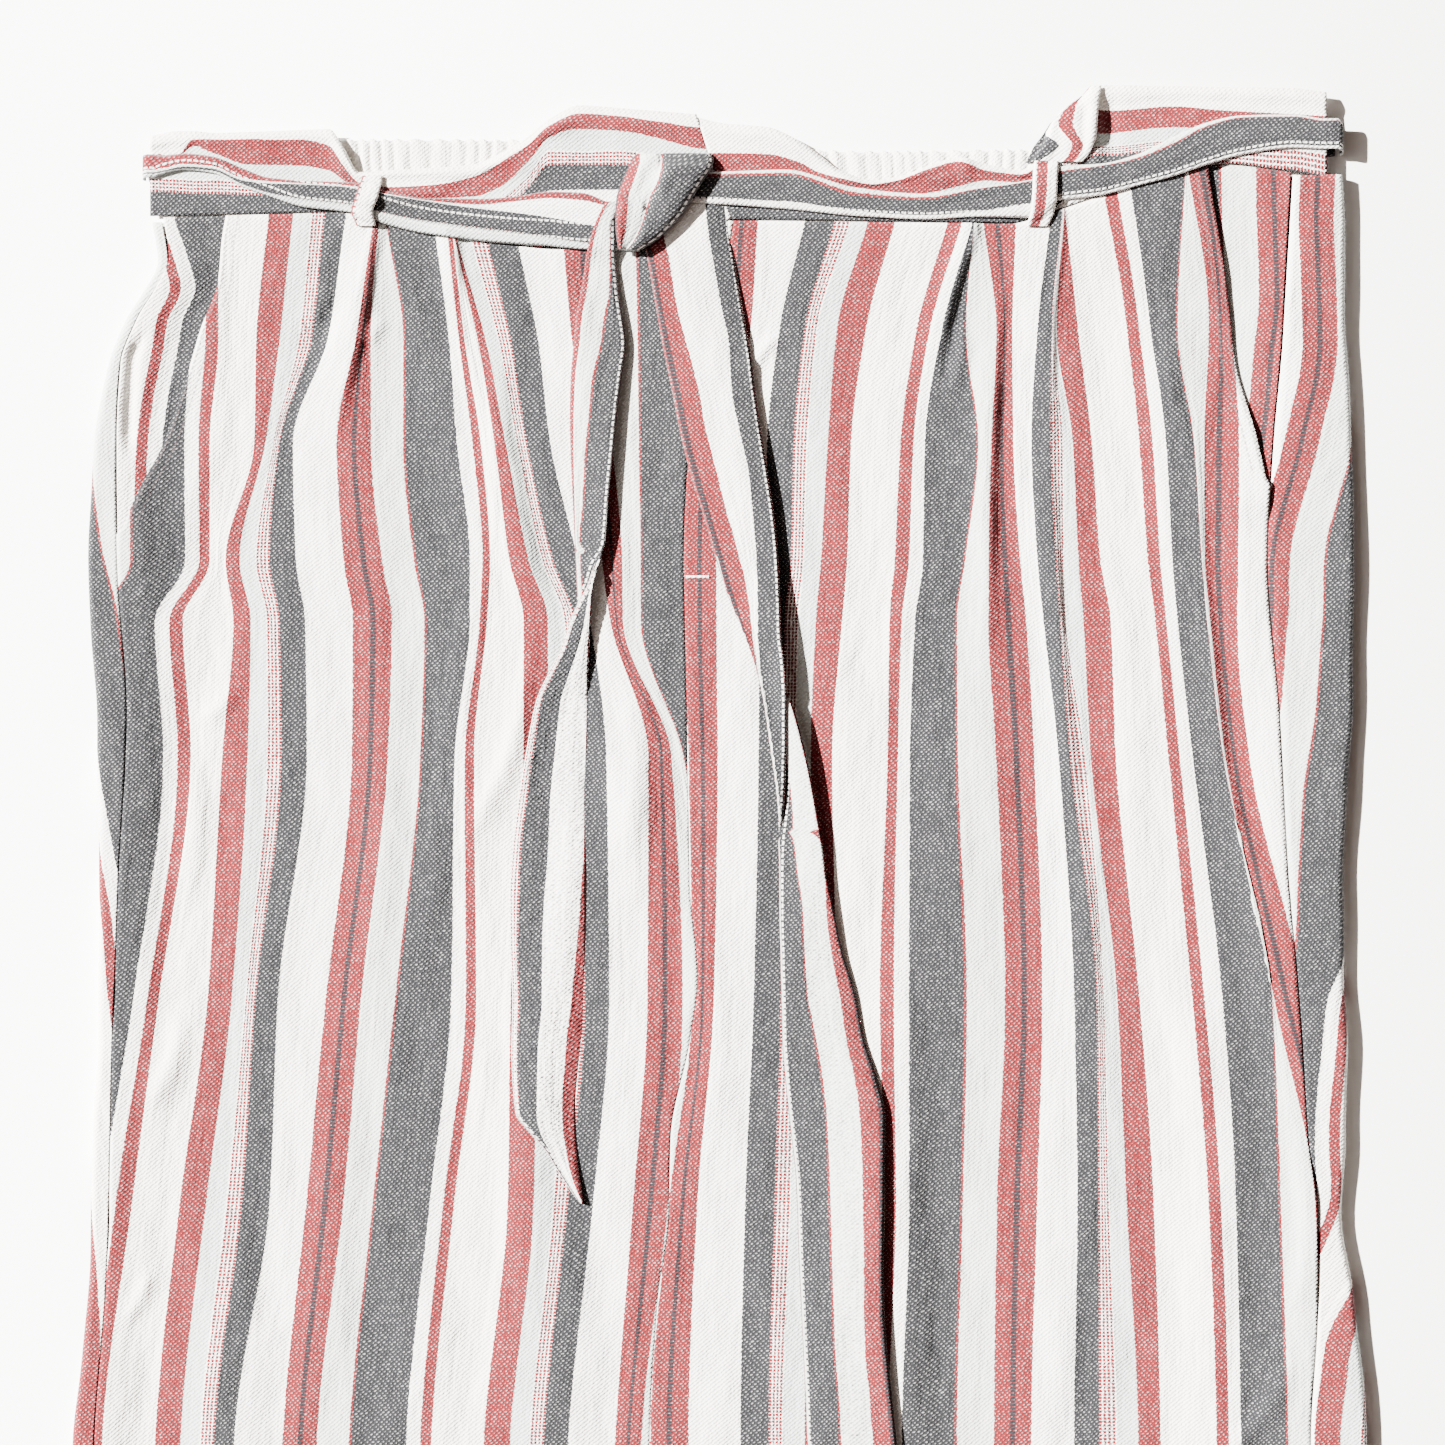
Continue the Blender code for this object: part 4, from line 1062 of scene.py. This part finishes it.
def rest_on(supports, x, y, reach=1.6):
    """Height of the highest piece under each point and just round it."""
    spots = [(0, 0)] + [(reach * math.cos(k * math.pi / 3), reach * math.sin(k * math.pi / 3)) for k in range(6)]
    z = np.zeros(x.shape)
    down = Vector((0, 0, -1))
    for index in np.ndindex(x.shape):
        for dx, dy in spots:
            above = Vector(((x[index] + dx) * MM, (y[index] + dy) * MM, 1.0))
            for tree in supports:
                hit = tree.ray_cast(above, down)[0]
                if hit is not None:
                    z[index] = max(z[index], hit.z / MM)
    return z


def settle(z, rounds=6):
    """Smooth a strip's heights along it, without letting it sink below its rest."""
    rest = z.copy()
    for _ in range(rounds):
        mean = z.copy()
        mean[1:-1] = 0.25 * z[:-2] + 0.5 * z[1:-1] + 0.25 * z[2:]
        z = np.maximum(rest - 0.15, mean)
    return z


def band_of(x, y, z, wall, crown=0.35):
    """A closed, soft-edged strip from its middle surface: across the top, then back underneath."""
    v = np.linspace(-1, 1, x.shape[1])[None, :]
    half = wall * 0.5 * np.sqrt(np.clip(1 - np.abs(v) ** 6, 0, 1))
    upper = np.stack((x, y, z + half + crown * (1 - v ** 2)), axis=-1)
    lower = np.stack((x, y, z - half), axis=-1)
    return np.concatenate((upper, lower[:, -2:0:-1], upper[:, :1]), axis=1)


def round_trip(uv):
    return np.concatenate((uv, uv[:, -2:0:-1], uv[:, :1]), axis=1)


# %% [markdown]
# Two stretches of the belt lie across the front. The chart gives the edges of their stripes down
# the belt, from its upper edge to its lower.

# %% Belt across the front
RUN_RIGHT = table("RunRight", "x top a b c bottom", """
    151 156 174 176 177 182
    166 158 171 173 174 176
    186 156 167 169 171 172
    214 159 169 171 173 175
    245 171 181 183 187 189
    270 180 184 186 195 198
    304 183 186 187 201 209
    354 185 189 190 207 215
    389 194 197 198 216 227
    427 201 203 204 223 236
    480 201 207 211 230 243
    515 199 204 215 234 246
    550 194 201 220 239 248
    581 195 203 226 244 251
    612 206 210 231 247 252
    640 214 217 234 248 253
""")
RUN_LEFT = table("RunLeft", "x top a b c bottom", """
    668 174 177 179 199 205
    708 174 176 179 201 206
    785 172 175 178 203 211
    855 190 194 198 213 218
    925 196 199 202 217 221
    977 189 191 192 213 219
    1030 182 183 184 204 220
    1056 169 174 176 199 203
    1100 166 168 169 194 197
    1135 157 160 162 185 188
    1170 140 146 148 176 179
    1205 125 128 130 164 167
    1240 118 120 121 154 157
    1292 117 119 120 147 150
    1318 121 123 124 148 151
""")
RUN_ACROSS = 15
RUN_BETWEEN = 4
RUN_CODES = {"right": (("bottom", 12.0), ("c", 17.0), ("c", 25.0), ("b", 35.4), ("a", 51.25), ("top", 57.0)),
             "left": (("bottom", 106.0), ("c", 102.5), ("b", 81.25), ("a", 80.0), ("top", 77.0))}
RUN_TURN = {"right": (238.6, 461.0, 470.6), "left": (257.6, 471.5, 482.0)}
TURN_OUT = (0.4, 1.2, 1.3, 0.8, -1.0)
TURN_UP = (0.9, 2.6, 5.0, 7.0, 8.0)


def make_run(side, rows, count, supports):
    spots = np.linspace(across(rows[0].x), across(rows[-1].x), count)
    if side == "left":
        spots = spots[::-1]
    reach, turn_low, turn_high = RUN_TURN[side]
    spots = spots[np.abs(spots) < reach - 3.0]
    pixel = PHOTO_X + PIXELS * spots
    edges = np.stack([up(read(rows, name, pixel, "x")) for name, _ in RUN_CODES[side]], axis=-1)
    edges = np.maximum.accumulate(edges + 0.35 * np.arange(edges.shape[1]) * 0.1, axis=-1)
    codes = [code for _, code in RUN_CODES[side]]
    columns = np.linspace(0, len(codes) - 1, (len(codes) - 1) * RUN_BETWEEN + 1)
    y = np.stack([np.interp(columns, np.arange(len(codes)), row) for row in edges])
    s = np.repeat(np.interp(columns, np.arange(len(codes)), codes)[None, :], len(spots), axis=0)
    x = np.repeat(spots[:, None], len(columns), axis=1)
    part = (y[:1] - y[0, 0]) / (y[0, -1] - y[0, 0])
    z = settle(rest_on(supports, x, y)) + LAY_GAP + BELT_WALL / 2
    z += 0.3 * np.sin(x / 13 + y / 5) * np.sin(x / 29 + 1)
    near = np.linspace(0, 1, 5)[:, None] ** 2
    lead_x = SIGN[side] * (reach + np.repeat(np.array(TURN_OUT)[:, None], len(columns), axis=1))
    lead_y = turn_low + (turn_high - turn_low) * part
    lead_y = lead_y + (y[:1] - lead_y) * near
    lead_z = np.repeat(np.array(TURN_UP)[:, None], len(columns), axis=1)
    x, y, z = np.concatenate((lead_x, x)), np.concatenate((lead_y, y)), np.concatenate((lead_z, z))
    s = np.concatenate((np.repeat(s[:1], 5, 0), s))
    points = band_of(x, y, z, BELT_WALL)
    stitched = y - y[:, :1]
    return lay("belt_run_" + side + "_cloth", points, round_trip(np.stack((s, x), axis=-1)),
               round_trip(np.stack((x, stitched), axis=-1)), close=True)


garment = search_trees([fronts["right"], fronts["left"], backs["right"], backs["left"], facings["right"],
                        facings["left"], bands["right"], bands["left"], back_band])
runs = {"right": make_run("right", RUN_RIGHT, 190, garment), "left": make_run("left", RUN_LEFT, 250, garment)}
RUN_STITCHES = {"right": (0.0040, 0.0106), "left": (0.0024,)}
BELT_FINISH = woven("striped_cotton_belt")
for side in ("right", "left"):
    stitched_belt = woven("striped_cotton_run_" + side, insets=RUN_STITCHES[side])
    place(runs[side], ["belt_run_" + side], "belt_cotton", stitched_belt)
    print(side, "belt run:", len(runs[side].data.vertices), "points")

# %% [markdown]
# Behind the waist the belt lies flat on the floor, under the back band. Nothing shows of it from
# the front, but its ends meet the two runs at the sides.

# %% Belt behind the waist
BELT_BACK = table("BeltBack", "x low high", """
    -236.6 461.0 470.6
    -190 452 472
    0 450 472
    150 455 474
    210 466 480
    256 471.5 482
""")


def make_belt_back():
    spots = np.linspace(BELT_BACK[0].x, BELT_BACK[-1].x, 120)
    part = np.linspace(0, 1, RUN_ACROSS + 1)[None, :]
    low, high = (read(BELT_BACK, name, spots, "x")[:, None] for name in ("low", "high"))
    y = low + (high - low) * part
    x = np.repeat(spots[:, None], RUN_ACROSS + 1, axis=1)
    z = np.full_like(x, BELT_WALL / 2) + 0.12 + 0.1 * np.sin(x / 23)
    s = 77 + (high - y) * 1.15
    return lay("belt_back_cloth", band_of(x, y, z, BELT_WALL, 0.0), round_trip(np.stack((s, x), axis=-1)),
               round_trip(np.stack((x, high - y), axis=-1)), close=True)


belt_back = make_belt_back()
place(belt_back, ["belt_back"], "belt_cotton", BELT_FINISH)

# %% [markdown]
# The two free ends hang from the knot and lie down the front. Each turns over once. A row of the
# chart gives, at one level, the fold edge of the strip, the place where it doubles back, and its
# stitched edge, with how much of the strip's width has passed the turn. Below them come the
# places of the stripe edges.

# %% Free ends of the belt
TAIL_RIGHT = table("TailRight", "y start turn end share i j k", """
    204 607 624 624 1 620 621 622
    214 601 620 620 1 616 617 618
    228 595 616 616 1 611 612 614
    252 588 616 616 1 610 612 614
    293 581 619 619 1 609 611 617
    314 577 622 622 1 604 608 620
    345 574 626 626 1 600 603 623
    377 571 622 622 1 592 596 619
    418 570 617 617 1 588 591 614
    460 571 613 613 1 584 587 611
    502 573 609 609 1 582 585 607
    543 575 606 606 1 579 581 604
    564 576 600 595 0.95 596 597 599
    585 577 594 588 0.8 590 592 593
    606 578 592 577 0.55 580 588 590
    628 580 591 568 0.4 572 584 589
    650 583 590 561 0.2 565 578 588
    675 586 589 548 0.08 553 569 588
    700 588 589 537 0 542 561 588
    750 587 588 527 0 534 555 587
    800 586 587 519 0 527 550 586
    850 586 587 513 0 521 548 584
    900 586 587 510 0 519 544 581
    950 586 587 511 0 518 542 576
    1000 585 586 513 0 519 542 571
    1050 582 583 512 0 518 538 565
    1112 575 576 516 0 519 537 562
    1130 575 576 529 0 531 540 563
    1150 576 577 546 0 547 550 566
    1170 578 579 558 0 559 561 570
    1190 581 582 571 0 572 573 577
    1202 582 583 580 0 580.5 581 582
""")
TAIL_LEFT = table("TailLeft", "y start turn end share i j k", """
    206 664 664 729 0 674 706 728.5
    222 654 654 730 0 669 707.5 729.5
    236 642 642 731 0 664 709.5 730.5
    257 646.7 646.7 734.5 0 669 713 734
    307 655.8 655.8 742.5 0 677 722 742
    348 663 663 749.5 0 688 730 749
    390 671.7 671.7 755 0 699 732 754
    432 680 680 761 0 707 740 760
    473 690 690 767.5 0 717.5 749 766
    515 703 703 774 0 728 753 772
    557 715 715 778 0 740 756 777
    598 730 728 780 0.05 749 757 779
    636 752 744 781 0.15 753 757 780
    662 768 753 784 0.3 756 759 783
    703 791 763 786 0.5 764 765 785
    745 803 769 786 0.65 770 771 785
    787 812 775 785 0.8 776 777 784
    816 817 777.5 783 0.93 779 780 782
    840 821 778 780 1 792 793.5 820.9
    870 825 779 779 1 796 797.5 824.9
    912 833.8 779 779 1 801.7 803 826.7
    953 843 780 780 1 803 805 831.7
    995 856 781 781 1 806.7 808 840
    1037 864 782 782 1 814 816 846
    1078 877 785 785 1 821 823 854.6
    1116 885 789 789 1 825.4 827 860
    1183 884 796 796 1 827.5 830 862.5
    1267 883 799 799 1 830.4 832.5 863.8
    1308 884 801 801 1 831.7 834 863.8
    1350 887 803 803 1 833 835.5 865
    1392 891 805 805 1 836.7 839 869
    1440 896 807 807 1 839 841.5 873
    1455 897 814 814 1 840 842 875
    1468 898 848 848 1 850 853 878
""")
# Codes of the face that is up before and after the turn, at the four edges and two ends
TAIL_CODES = {
    "right": ((62.0, 80.0, 81.25, 97.0, 101.0), (20.5, 25.0, 35.4, 51.25, 56.0)),
    "left": ((60.5, 51.25, 35.4, 25.6, 24.2), (93.0, 81.25, 80.0, 65.8, 57.6)),
}
# While the strip turns, its lower face keeps its first codes; these are its stripe edges, as
# steps from its free edge or from the fold
TAIL_UNDER = {"right": ((0, 0.0), (0, 4.0), (0, 6.0), (1, -2.0), (1, 0.0)),
              "left": ((1, 0.0), (1, 14.0), (1, 15.5), (0, -0.1), (0, 0.0))}
TAIL_COLUMNS = 22
TAIL_LIFT = table("TailLift", "y right left", """
    204 0.2 0.0
    236 0.8 0.4
    300 1.3 0.8
    420 2.6 1.8
    520 3.2 3.2
    560 3.2 3.6
    590 1.8 4.0
    620 0.6 4.7
    640 0.1 4.8
    700 0.0 5.0
    850 0.0 3.2
    950 0.0 1.2
    1050 0.0 0.8
    1150 0.6 1.8
    1300 1.0 2.2
    1470 1.0 2.0
""")
TAIL_REST = 1.9


def in_order(spots):
    """Stripe edges pushed along so that none lies before the last."""
    return np.maximum.accumulate(np.array(spots) + np.arange(len(spots)) * 0.01)


def make_tail(side, rows, count, supports):
    levels = np.linspace(rows[0].y, rows[-1].y, count)
    start, turn, end, share, i, j, k = (read(rows, name, levels) for name in rows[0]._fields[1:])
    v = np.linspace(0, 1, TAIL_COLUMNS + 1)[None, :]
    before, after = TAIL_CODES[side]
    x, z, s = (np.empty((count, TAIL_COLUMNS + 1)) for _ in range(3))
    for r in range(count):
        first, fold, last = start[r], turn[r], end[r]
        portion = min(max(share[r], 0.0), 1.0)
        lower = v[0] < portion
        x[r] = np.where(lower, first + (fold - first) * v[0] / max(portion, 1e-3),
                        fold + (last - fold) * (v[0] - portion) / max(1 - portion, 1e-3))
        turning = portion * (1 - portion) * 4
        bend = np.exp(-((v[0] - portion) * TAIL_COLUMNS / 2.0) ** 2)
        z[r] = np.where(lower, 0, TAIL_REST * min(turning * 2, 1)) + turning * 0.8 * bend
        charted = (i[r], j[r], k[r])
        upper = in_order((*((last, *charted, fold) if side == "right" else (fold, *charted, last)),))
        under = (first, *charted, fold) if side == "right" else (fold, *charted, first)
        if portion < 0.985:
            under = [(first, fold)[end_of] + step for end_of, step in TAIL_UNDER[side]]
        first_codes, last_codes = (before, after) if side == "right" else (after, before)
        s[r] = np.where(lower, np.interp(x[r], in_order(under), first_codes), np.interp(x[r], upper, last_codes))
    y = np.repeat(levels[:, None], TAIL_COLUMNS + 1, axis=1)
    x_mm, y_mm = across(x), up(y)
    rest = settle(rest_on(supports, x_mm, y_mm), 10)
    left_most = x.min(axis=1, keepdims=True)
    tilt = (x - left_most) / (x.max(axis=1, keepdims=True) - left_most)
    raised = read(TAIL_LIFT, side, levels)[:, None]
    lift = raised * (0.15 + 0.85 * tilt ** 1.5) - 1.2 * ease(0.7, 1.0, tilt) * (1 - ease(0.3, 1.5, raised))
    body_z = rest + LAY_GAP + 0.5 + z + lift + 0.45 * np.sin(y_mm / 21 + v * 3) * np.sin(y_mm / 47 + 1.0) ** 2
    points = band_of(x_mm, y_mm, body_z, 1.2, 0.3)
    stitched = np.abs(x_mm - across(end)[:, None])
    return lay("belt_tail_" + side + "_cloth", points, round_trip(np.stack((s, y_mm), axis=-1)),
               round_trip(np.stack((y_mm, stitched), axis=-1)), close=True)


over_run = garment + search_trees([runs["right"]])
tails = {"right": make_tail("right", TAIL_RIGHT, 300, over_run), "left": make_tail("left", TAIL_LEFT, 360, garment)}
TAIL_FINISH = woven("striped_cotton_tail", insets=(0.0013,))
for side in ("right", "left"):
    place(tails[side], ["belt_tail_" + side], "belt_cotton", TAIL_FINISH)
    print(side, "tail:", len(tails[side].data.vertices), "points")

# %% [markdown]
# The knot wraps once over the run and the free ends. On its left the strip shows red and ribbed
# white, and on its right a dark flap folds over from the top corner.

# %% Knot
KNOT = table("Knot", "y left a b right height", """
    156 636 640 662 711 1.6
    162 632 640 664 714 3.6
    172 627 638 663 711 5.2
    184 622 634 660 703 6.2
    200 617 629 652 693 6.6
    216 616 628 647 683 6.4
    230 616 627 642 671 5.6
    242 617 624 636 658 4.4
    252 619 622 628 642 2.4
""")
KNOT_S = (58.8, 65.8, 81.25, 100.0)
KNOT_COLUMNS = 44


def make_knot(supports):
    levels = np.linspace(KNOT[0].y, KNOT[-1].y, 48)
    left, a, b, right, height = (read(KNOT, name, levels)[:, None] for name in KNOT[0]._fields[1:])
    v = np.linspace(0, 1, KNOT_COLUMNS + 1)[None, :]
    x = left + (right - left) * v
    s = np.stack([np.interp(x[r], (left[r, 0], a[r, 0], b[r, 0], right[r, 0]), KNOT_S) for r in range(len(levels))])
    y = np.repeat(levels[:, None], KNOT_COLUMNS + 1, axis=1)
    x_mm, y_mm = across(x), up(y)
    rest = rest_on(supports, x_mm, y_mm, 3.0)
    rest = np.maximum(settle(rest, 12), settle(rest.T, 12).T)
    dome = np.sqrt(np.clip(1 - (2 * v - 1) ** 4, 0, 1)) * (0.72 + 0.28 * np.sin(np.pi * v))
    flap = ease(b - 3, b + 3, x) * (1 - ease(right - 4, right, x))
    groove = np.exp(-((x - b) / 3.2) ** 2)
    ridges = 0.5 * np.sin((x - left) / 5.2 + (y - 200) / 26) * (1 - flap) + 0.25 * np.sin((x + y) / 7)
    upper = rest + 0.9 + height * dome * 0.8 + 1.5 * flap - 1.1 * groove * dome + ridges * dome
    lower = rest + 0.15
    top = np.stack((x_mm, y_mm, upper), axis=-1)
    under = np.stack((x_mm, y_mm, np.minimum(lower, upper - 0.4)), axis=-1)
    points = np.concatenate((top, under[:, -1::-1], top[:, :1]), axis=1)
    ends = points.copy()
    cap_first = np.concatenate((under[:1], under[:1, -1::-1], under[:1, :1]), axis=1)
    cap_last = np.concatenate((under[-1:], under[-1:, -1::-1], under[-1:, :1]), axis=1)
    points = np.concatenate((cap_first, ends, cap_last))
    s = np.concatenate((s[:1], s, s[-1:]))
    t = np.concatenate((y_mm[:1], y_mm, y_mm[-1:]))
    uv = np.stack((s, t), axis=-1)
    uv = np.concatenate((uv, uv[:, -1::-1], uv[:, :1]), axis=1)
    from_edge = across(right) - x_mm
    from_edge = np.concatenate((from_edge[:1], from_edge, from_edge[-1:]))
    edge = np.stack((t, from_edge), axis=-1)
    edge = np.concatenate((edge, edge[:, -1::-1], edge[:, :1]), axis=1)
    return lay("belt_knot_cloth", points, uv, edge, close=True)


dressed = garment + search_trees([runs["right"], runs["left"], tails["right"], tails["left"]])
knot = make_knot(dressed)
place(knot, ["belt_knot"], "belt_cotton", TAIL_FINISH)
print("knot:", len(knot.data.vertices), "points")

# %% [markdown]
# Each belt loop is a narrow strip over the belt. Its ends are sewn to the waistband, and it bows
# up over the belt between them.

# %% Belt loops
LOOP_RIGHT = table("LoopRight", "x y half", """
    374 178 10
    372 188 11
    368 202 11.5
    364 214 11
    368 228 10
""")
LOOP_LEFT = table("LoopLeft", "x y half", """
    1045 163 12
    1044 176 12.5
    1043 198 12.5
    1041 214 12
    1036 228 11
""")


def make_loop(side, rows, codes, supports):
    levels = np.linspace(rows[0].y, rows[-1].y, 40)
    middle, half = (read(rows, name, levels)[:, None] for name in ("x", "half"))
    v = np.linspace(-1, 1, 13)[None, :]
    x, y = middle + half * v, levels[:, None] + 0 * v
    x_mm, y_mm = across(x), up(y)
    bow = np.sin(np.pi * np.linspace(0, 1, 40))[:, None]
    z = settle(rest_on(supports, x_mm, y_mm), 4) + 0.75 + 0.9 * bow
    s = codes[0] + (codes[1] - codes[0]) * (v + 1) / 2 + 0 * x
    points = band_of(x_mm, y_mm, z, 1.0, 0.3)
    edge = np.stack((y_mm, half / PIXELS * (1 + v)), axis=-1)
    return lay(side + "_belt_loop_cloth", points, round_trip(np.stack((s, y_mm), axis=-1)), round_trip(edge), close=True)


loops = {"right": make_loop("right", LOOP_RIGHT, (111.3, 121.5), dressed),
         "left": make_loop("left", LOOP_LEFT, (107.3, 117.5), dressed)}
LOOP_FINISH = woven("striped_cotton_loop", insets=(0.0012,))
for side in ("right", "left"):
    place(loops[side], [side + "_belt_loop"], "loop_cotton", LOOP_FINISH)
    print(side, "loop:", len(loops[side].data.vertices), "points")

# %% [markdown]
# Left of the pieced end the front waistband folds over on itself: a cream fold with a red
# chevron, lying on the band beside the loop.

# %% Fold in the waistband
COLLAR = table("Collar", "y left dark red cream right height", """
    88 1089 1089.1 1089.2 1089.3 1099 0.36
    98 1080 1080.1 1080.2 1080.3 1097.5 0.96
    108 1067 1067.1 1067.5 1073 1096.5 1.44
    118 1057 1057.1 1059 1071.5 1095.5 1.68
    126 1049 1049.1 1056 1070 1095 1.8
    136 1042 1045 1062 1074 1094.5 1.8
    148 1033 1057 1070 1081 1091 1.68
    156 1029 1048 1067 1078 1087 1.44
    164 1025 1035 1061 1072 1080 0.96
""")
COLLAR_CODES = (90.0, 102.5, 108.3, 112.9, 119.0)


def make_collar(supports):
    levels = np.linspace(COLLAR[0].y, COLLAR[-1].y, 90)
    spots = np.stack([read(COLLAR, name, levels) for name in ("left", "dark", "red", "cream", "right")], axis=-1)
    spots = np.maximum.accumulate(spots + 0.02 * np.arange(5), axis=-1)
    columns = np.linspace(0, 4, 33)
    x = np.stack([np.interp(columns, np.arange(5), row) for row in spots])
    s = np.repeat(np.interp(columns, np.arange(5), COLLAR_CODES)[None, :], len(levels), axis=0)
    y = np.repeat(levels[:, None], 33, axis=1)
    x_mm, y_mm = across(x), up(y)
    share = (x - x[:, :1]) / (x[:, -1:] - x[:, :1])
    rise = read(COLLAR, "height", levels)[:, None]
    z = settle(rest_on(supports, x_mm, y_mm), 6) + 0.5 + rise * share ** 1.4 - rise * 0.5 * ease(0.93, 1.0, share)
    end = np.stack((x_mm[:, -1:] + 0.3, y_mm[:, -1:], z[:, -1:] - rise * 0.5), axis=-1)
    points = np.concatenate((np.stack((x_mm, y_mm, z), axis=-1), end), axis=1)
    cloth = np.stack((s, y_mm), axis=-1)
    return lay("left_band_fold", points, np.concatenate((cloth, cloth[:, -1:]), axis=1), None, 0.5)


collar = make_collar(search_trees([bands["left"], back_band]))
place(collar, [], "band_cotton", BAND_FINISH)
print("band fold:", len(collar.data.vertices), "points")

# %% [markdown]
# The foot of the stitched mock fly is held by a bar tack: a tight bar of thread across it.

# %% Bar tack
TACK_LEFT, TACK_RIGHT, TACK_LEVEL = 686, 709, 577


def make_bar_tack(supports):
    x, y = np.meshgrid(across(np.linspace(TACK_LEFT, TACK_RIGHT, 40)), up(TACK_LEVEL) + np.linspace(-0.55, 0.55, 9))
    z = rest_on(supports, x, y) + 0.12
    z += 0.35 * np.cos((y - up(TACK_LEVEL)) * 2.4) + 0.08 * np.sin(x * 9)
    return lay("fly_bar_tack", np.stack((x, y, z), axis=-1), np.stack((x, y), axis=-1), None, 0.4)


bar_tack = make_bar_tack(garment[:2])
place(bar_tack, [], "loop_cotton", woven("thread", striped=0.0, plain=WHITE))

# %% [markdown]
# The floor, the light and the camera. A small sun from the upper left throws the crisp brown
# shadows of the photograph to the right. The camera looks straight down on the upper half.

# %% Floor, light and camera
floor_mesh = bpy.data.meshes.new("floor")
bm = bmesh.new()
bmesh.ops.create_grid(bm, x_segments=1, y_segments=1, size=3.0)
bmesh.ops.translate(bm, verts=bm.verts[:], vec=(0, 0, -0.0005))
bm.to_mesh(floor_mesh)
bm.free()
floor = bpy.data.objects.new("floor", floor_mesh)
bpy.context.scene.collection.objects.link(floor)
paper = bpy.data.materials.new("floor_with_painted_shade")
paper.use_nodes = True
floor_place = paper.node_tree.nodes.new("ShaderNodeSeparateXYZ")
paper.node_tree.links.new(paper.node_tree.nodes.new("ShaderNodeTexCoord").outputs["Object"], floor_place.inputs[0])
# Painted shade: the floor's colour darkens from near white to grey towards the right, standing in for the falloff of
# the light from the lamps on the left.
painted_shade_rightward = value_of(paper.node_tree, "MULTIPLY_ADD", floor_place.outputs[0], 2.2, 0.3)
painted_shade_rightward = value_of(paper.node_tree, "MINIMUM", value_of(paper.node_tree, "MAXIMUM", painted_shade_rightward, 0.0), 1.0)
floor_painted_shade = blend_of(paper.node_tree, painted_shade_rightward, (0.97, 0.967, 0.96), (0.66, 0.65, 0.635))
paper.node_tree.links.new(floor_painted_shade, paper.node_tree.nodes["Principled BSDF"].inputs["Base Color"])
paper.node_tree.nodes["Principled BSDF"].inputs["Roughness"].default_value = 0.7
floor.data.materials.append(paper)


def add_light(name, kind, energy, colour, location, target, size):
    lamp = bpy.data.lights.new(name, kind)
    lamp.energy = energy
    lamp.color = colour
    if kind == "SUN":
        lamp.angle = size
    else:
        lamp.size = size
    light = bpy.data.objects.new(name, lamp)
    light.location = location
    light.rotation_euler = (Vector(target) - Vector(location)).to_track_quat("-Z", "Y").to_euler()
    bpy.context.scene.collection.objects.link(light)


add_light("key", "SUN", 56, (1.0, 0.99, 0.97), (-1.35, 0.75, 1.0), (0, 0.2, 0), 0.025)
add_light("left_glow", "AREA", 22, (1.0, 0.92, 0.86), (-1.4, 0.6, 1.5), (-0.2, 0.25, 0), 1.2)
world = bpy.data.worlds.new("room")
world.use_nodes = True
world.node_tree.nodes["Background"].inputs["Color"].default_value = (1.0, 0.76, 0.65, 1.0)
world.node_tree.nodes["Background"].inputs["Strength"].default_value = 0.19
bpy.context.scene.world = world

camera_data = bpy.data.cameras.new("camera")
camera_data.sensor_width = 36
camera_data.lens = 119.6
camera = bpy.data.objects.new("camera", camera_data)
camera.location = (0.00104, 0.23563, 2.0)
bpy.context.scene.collection.objects.link(camera)
bpy.context.scene.camera = camera
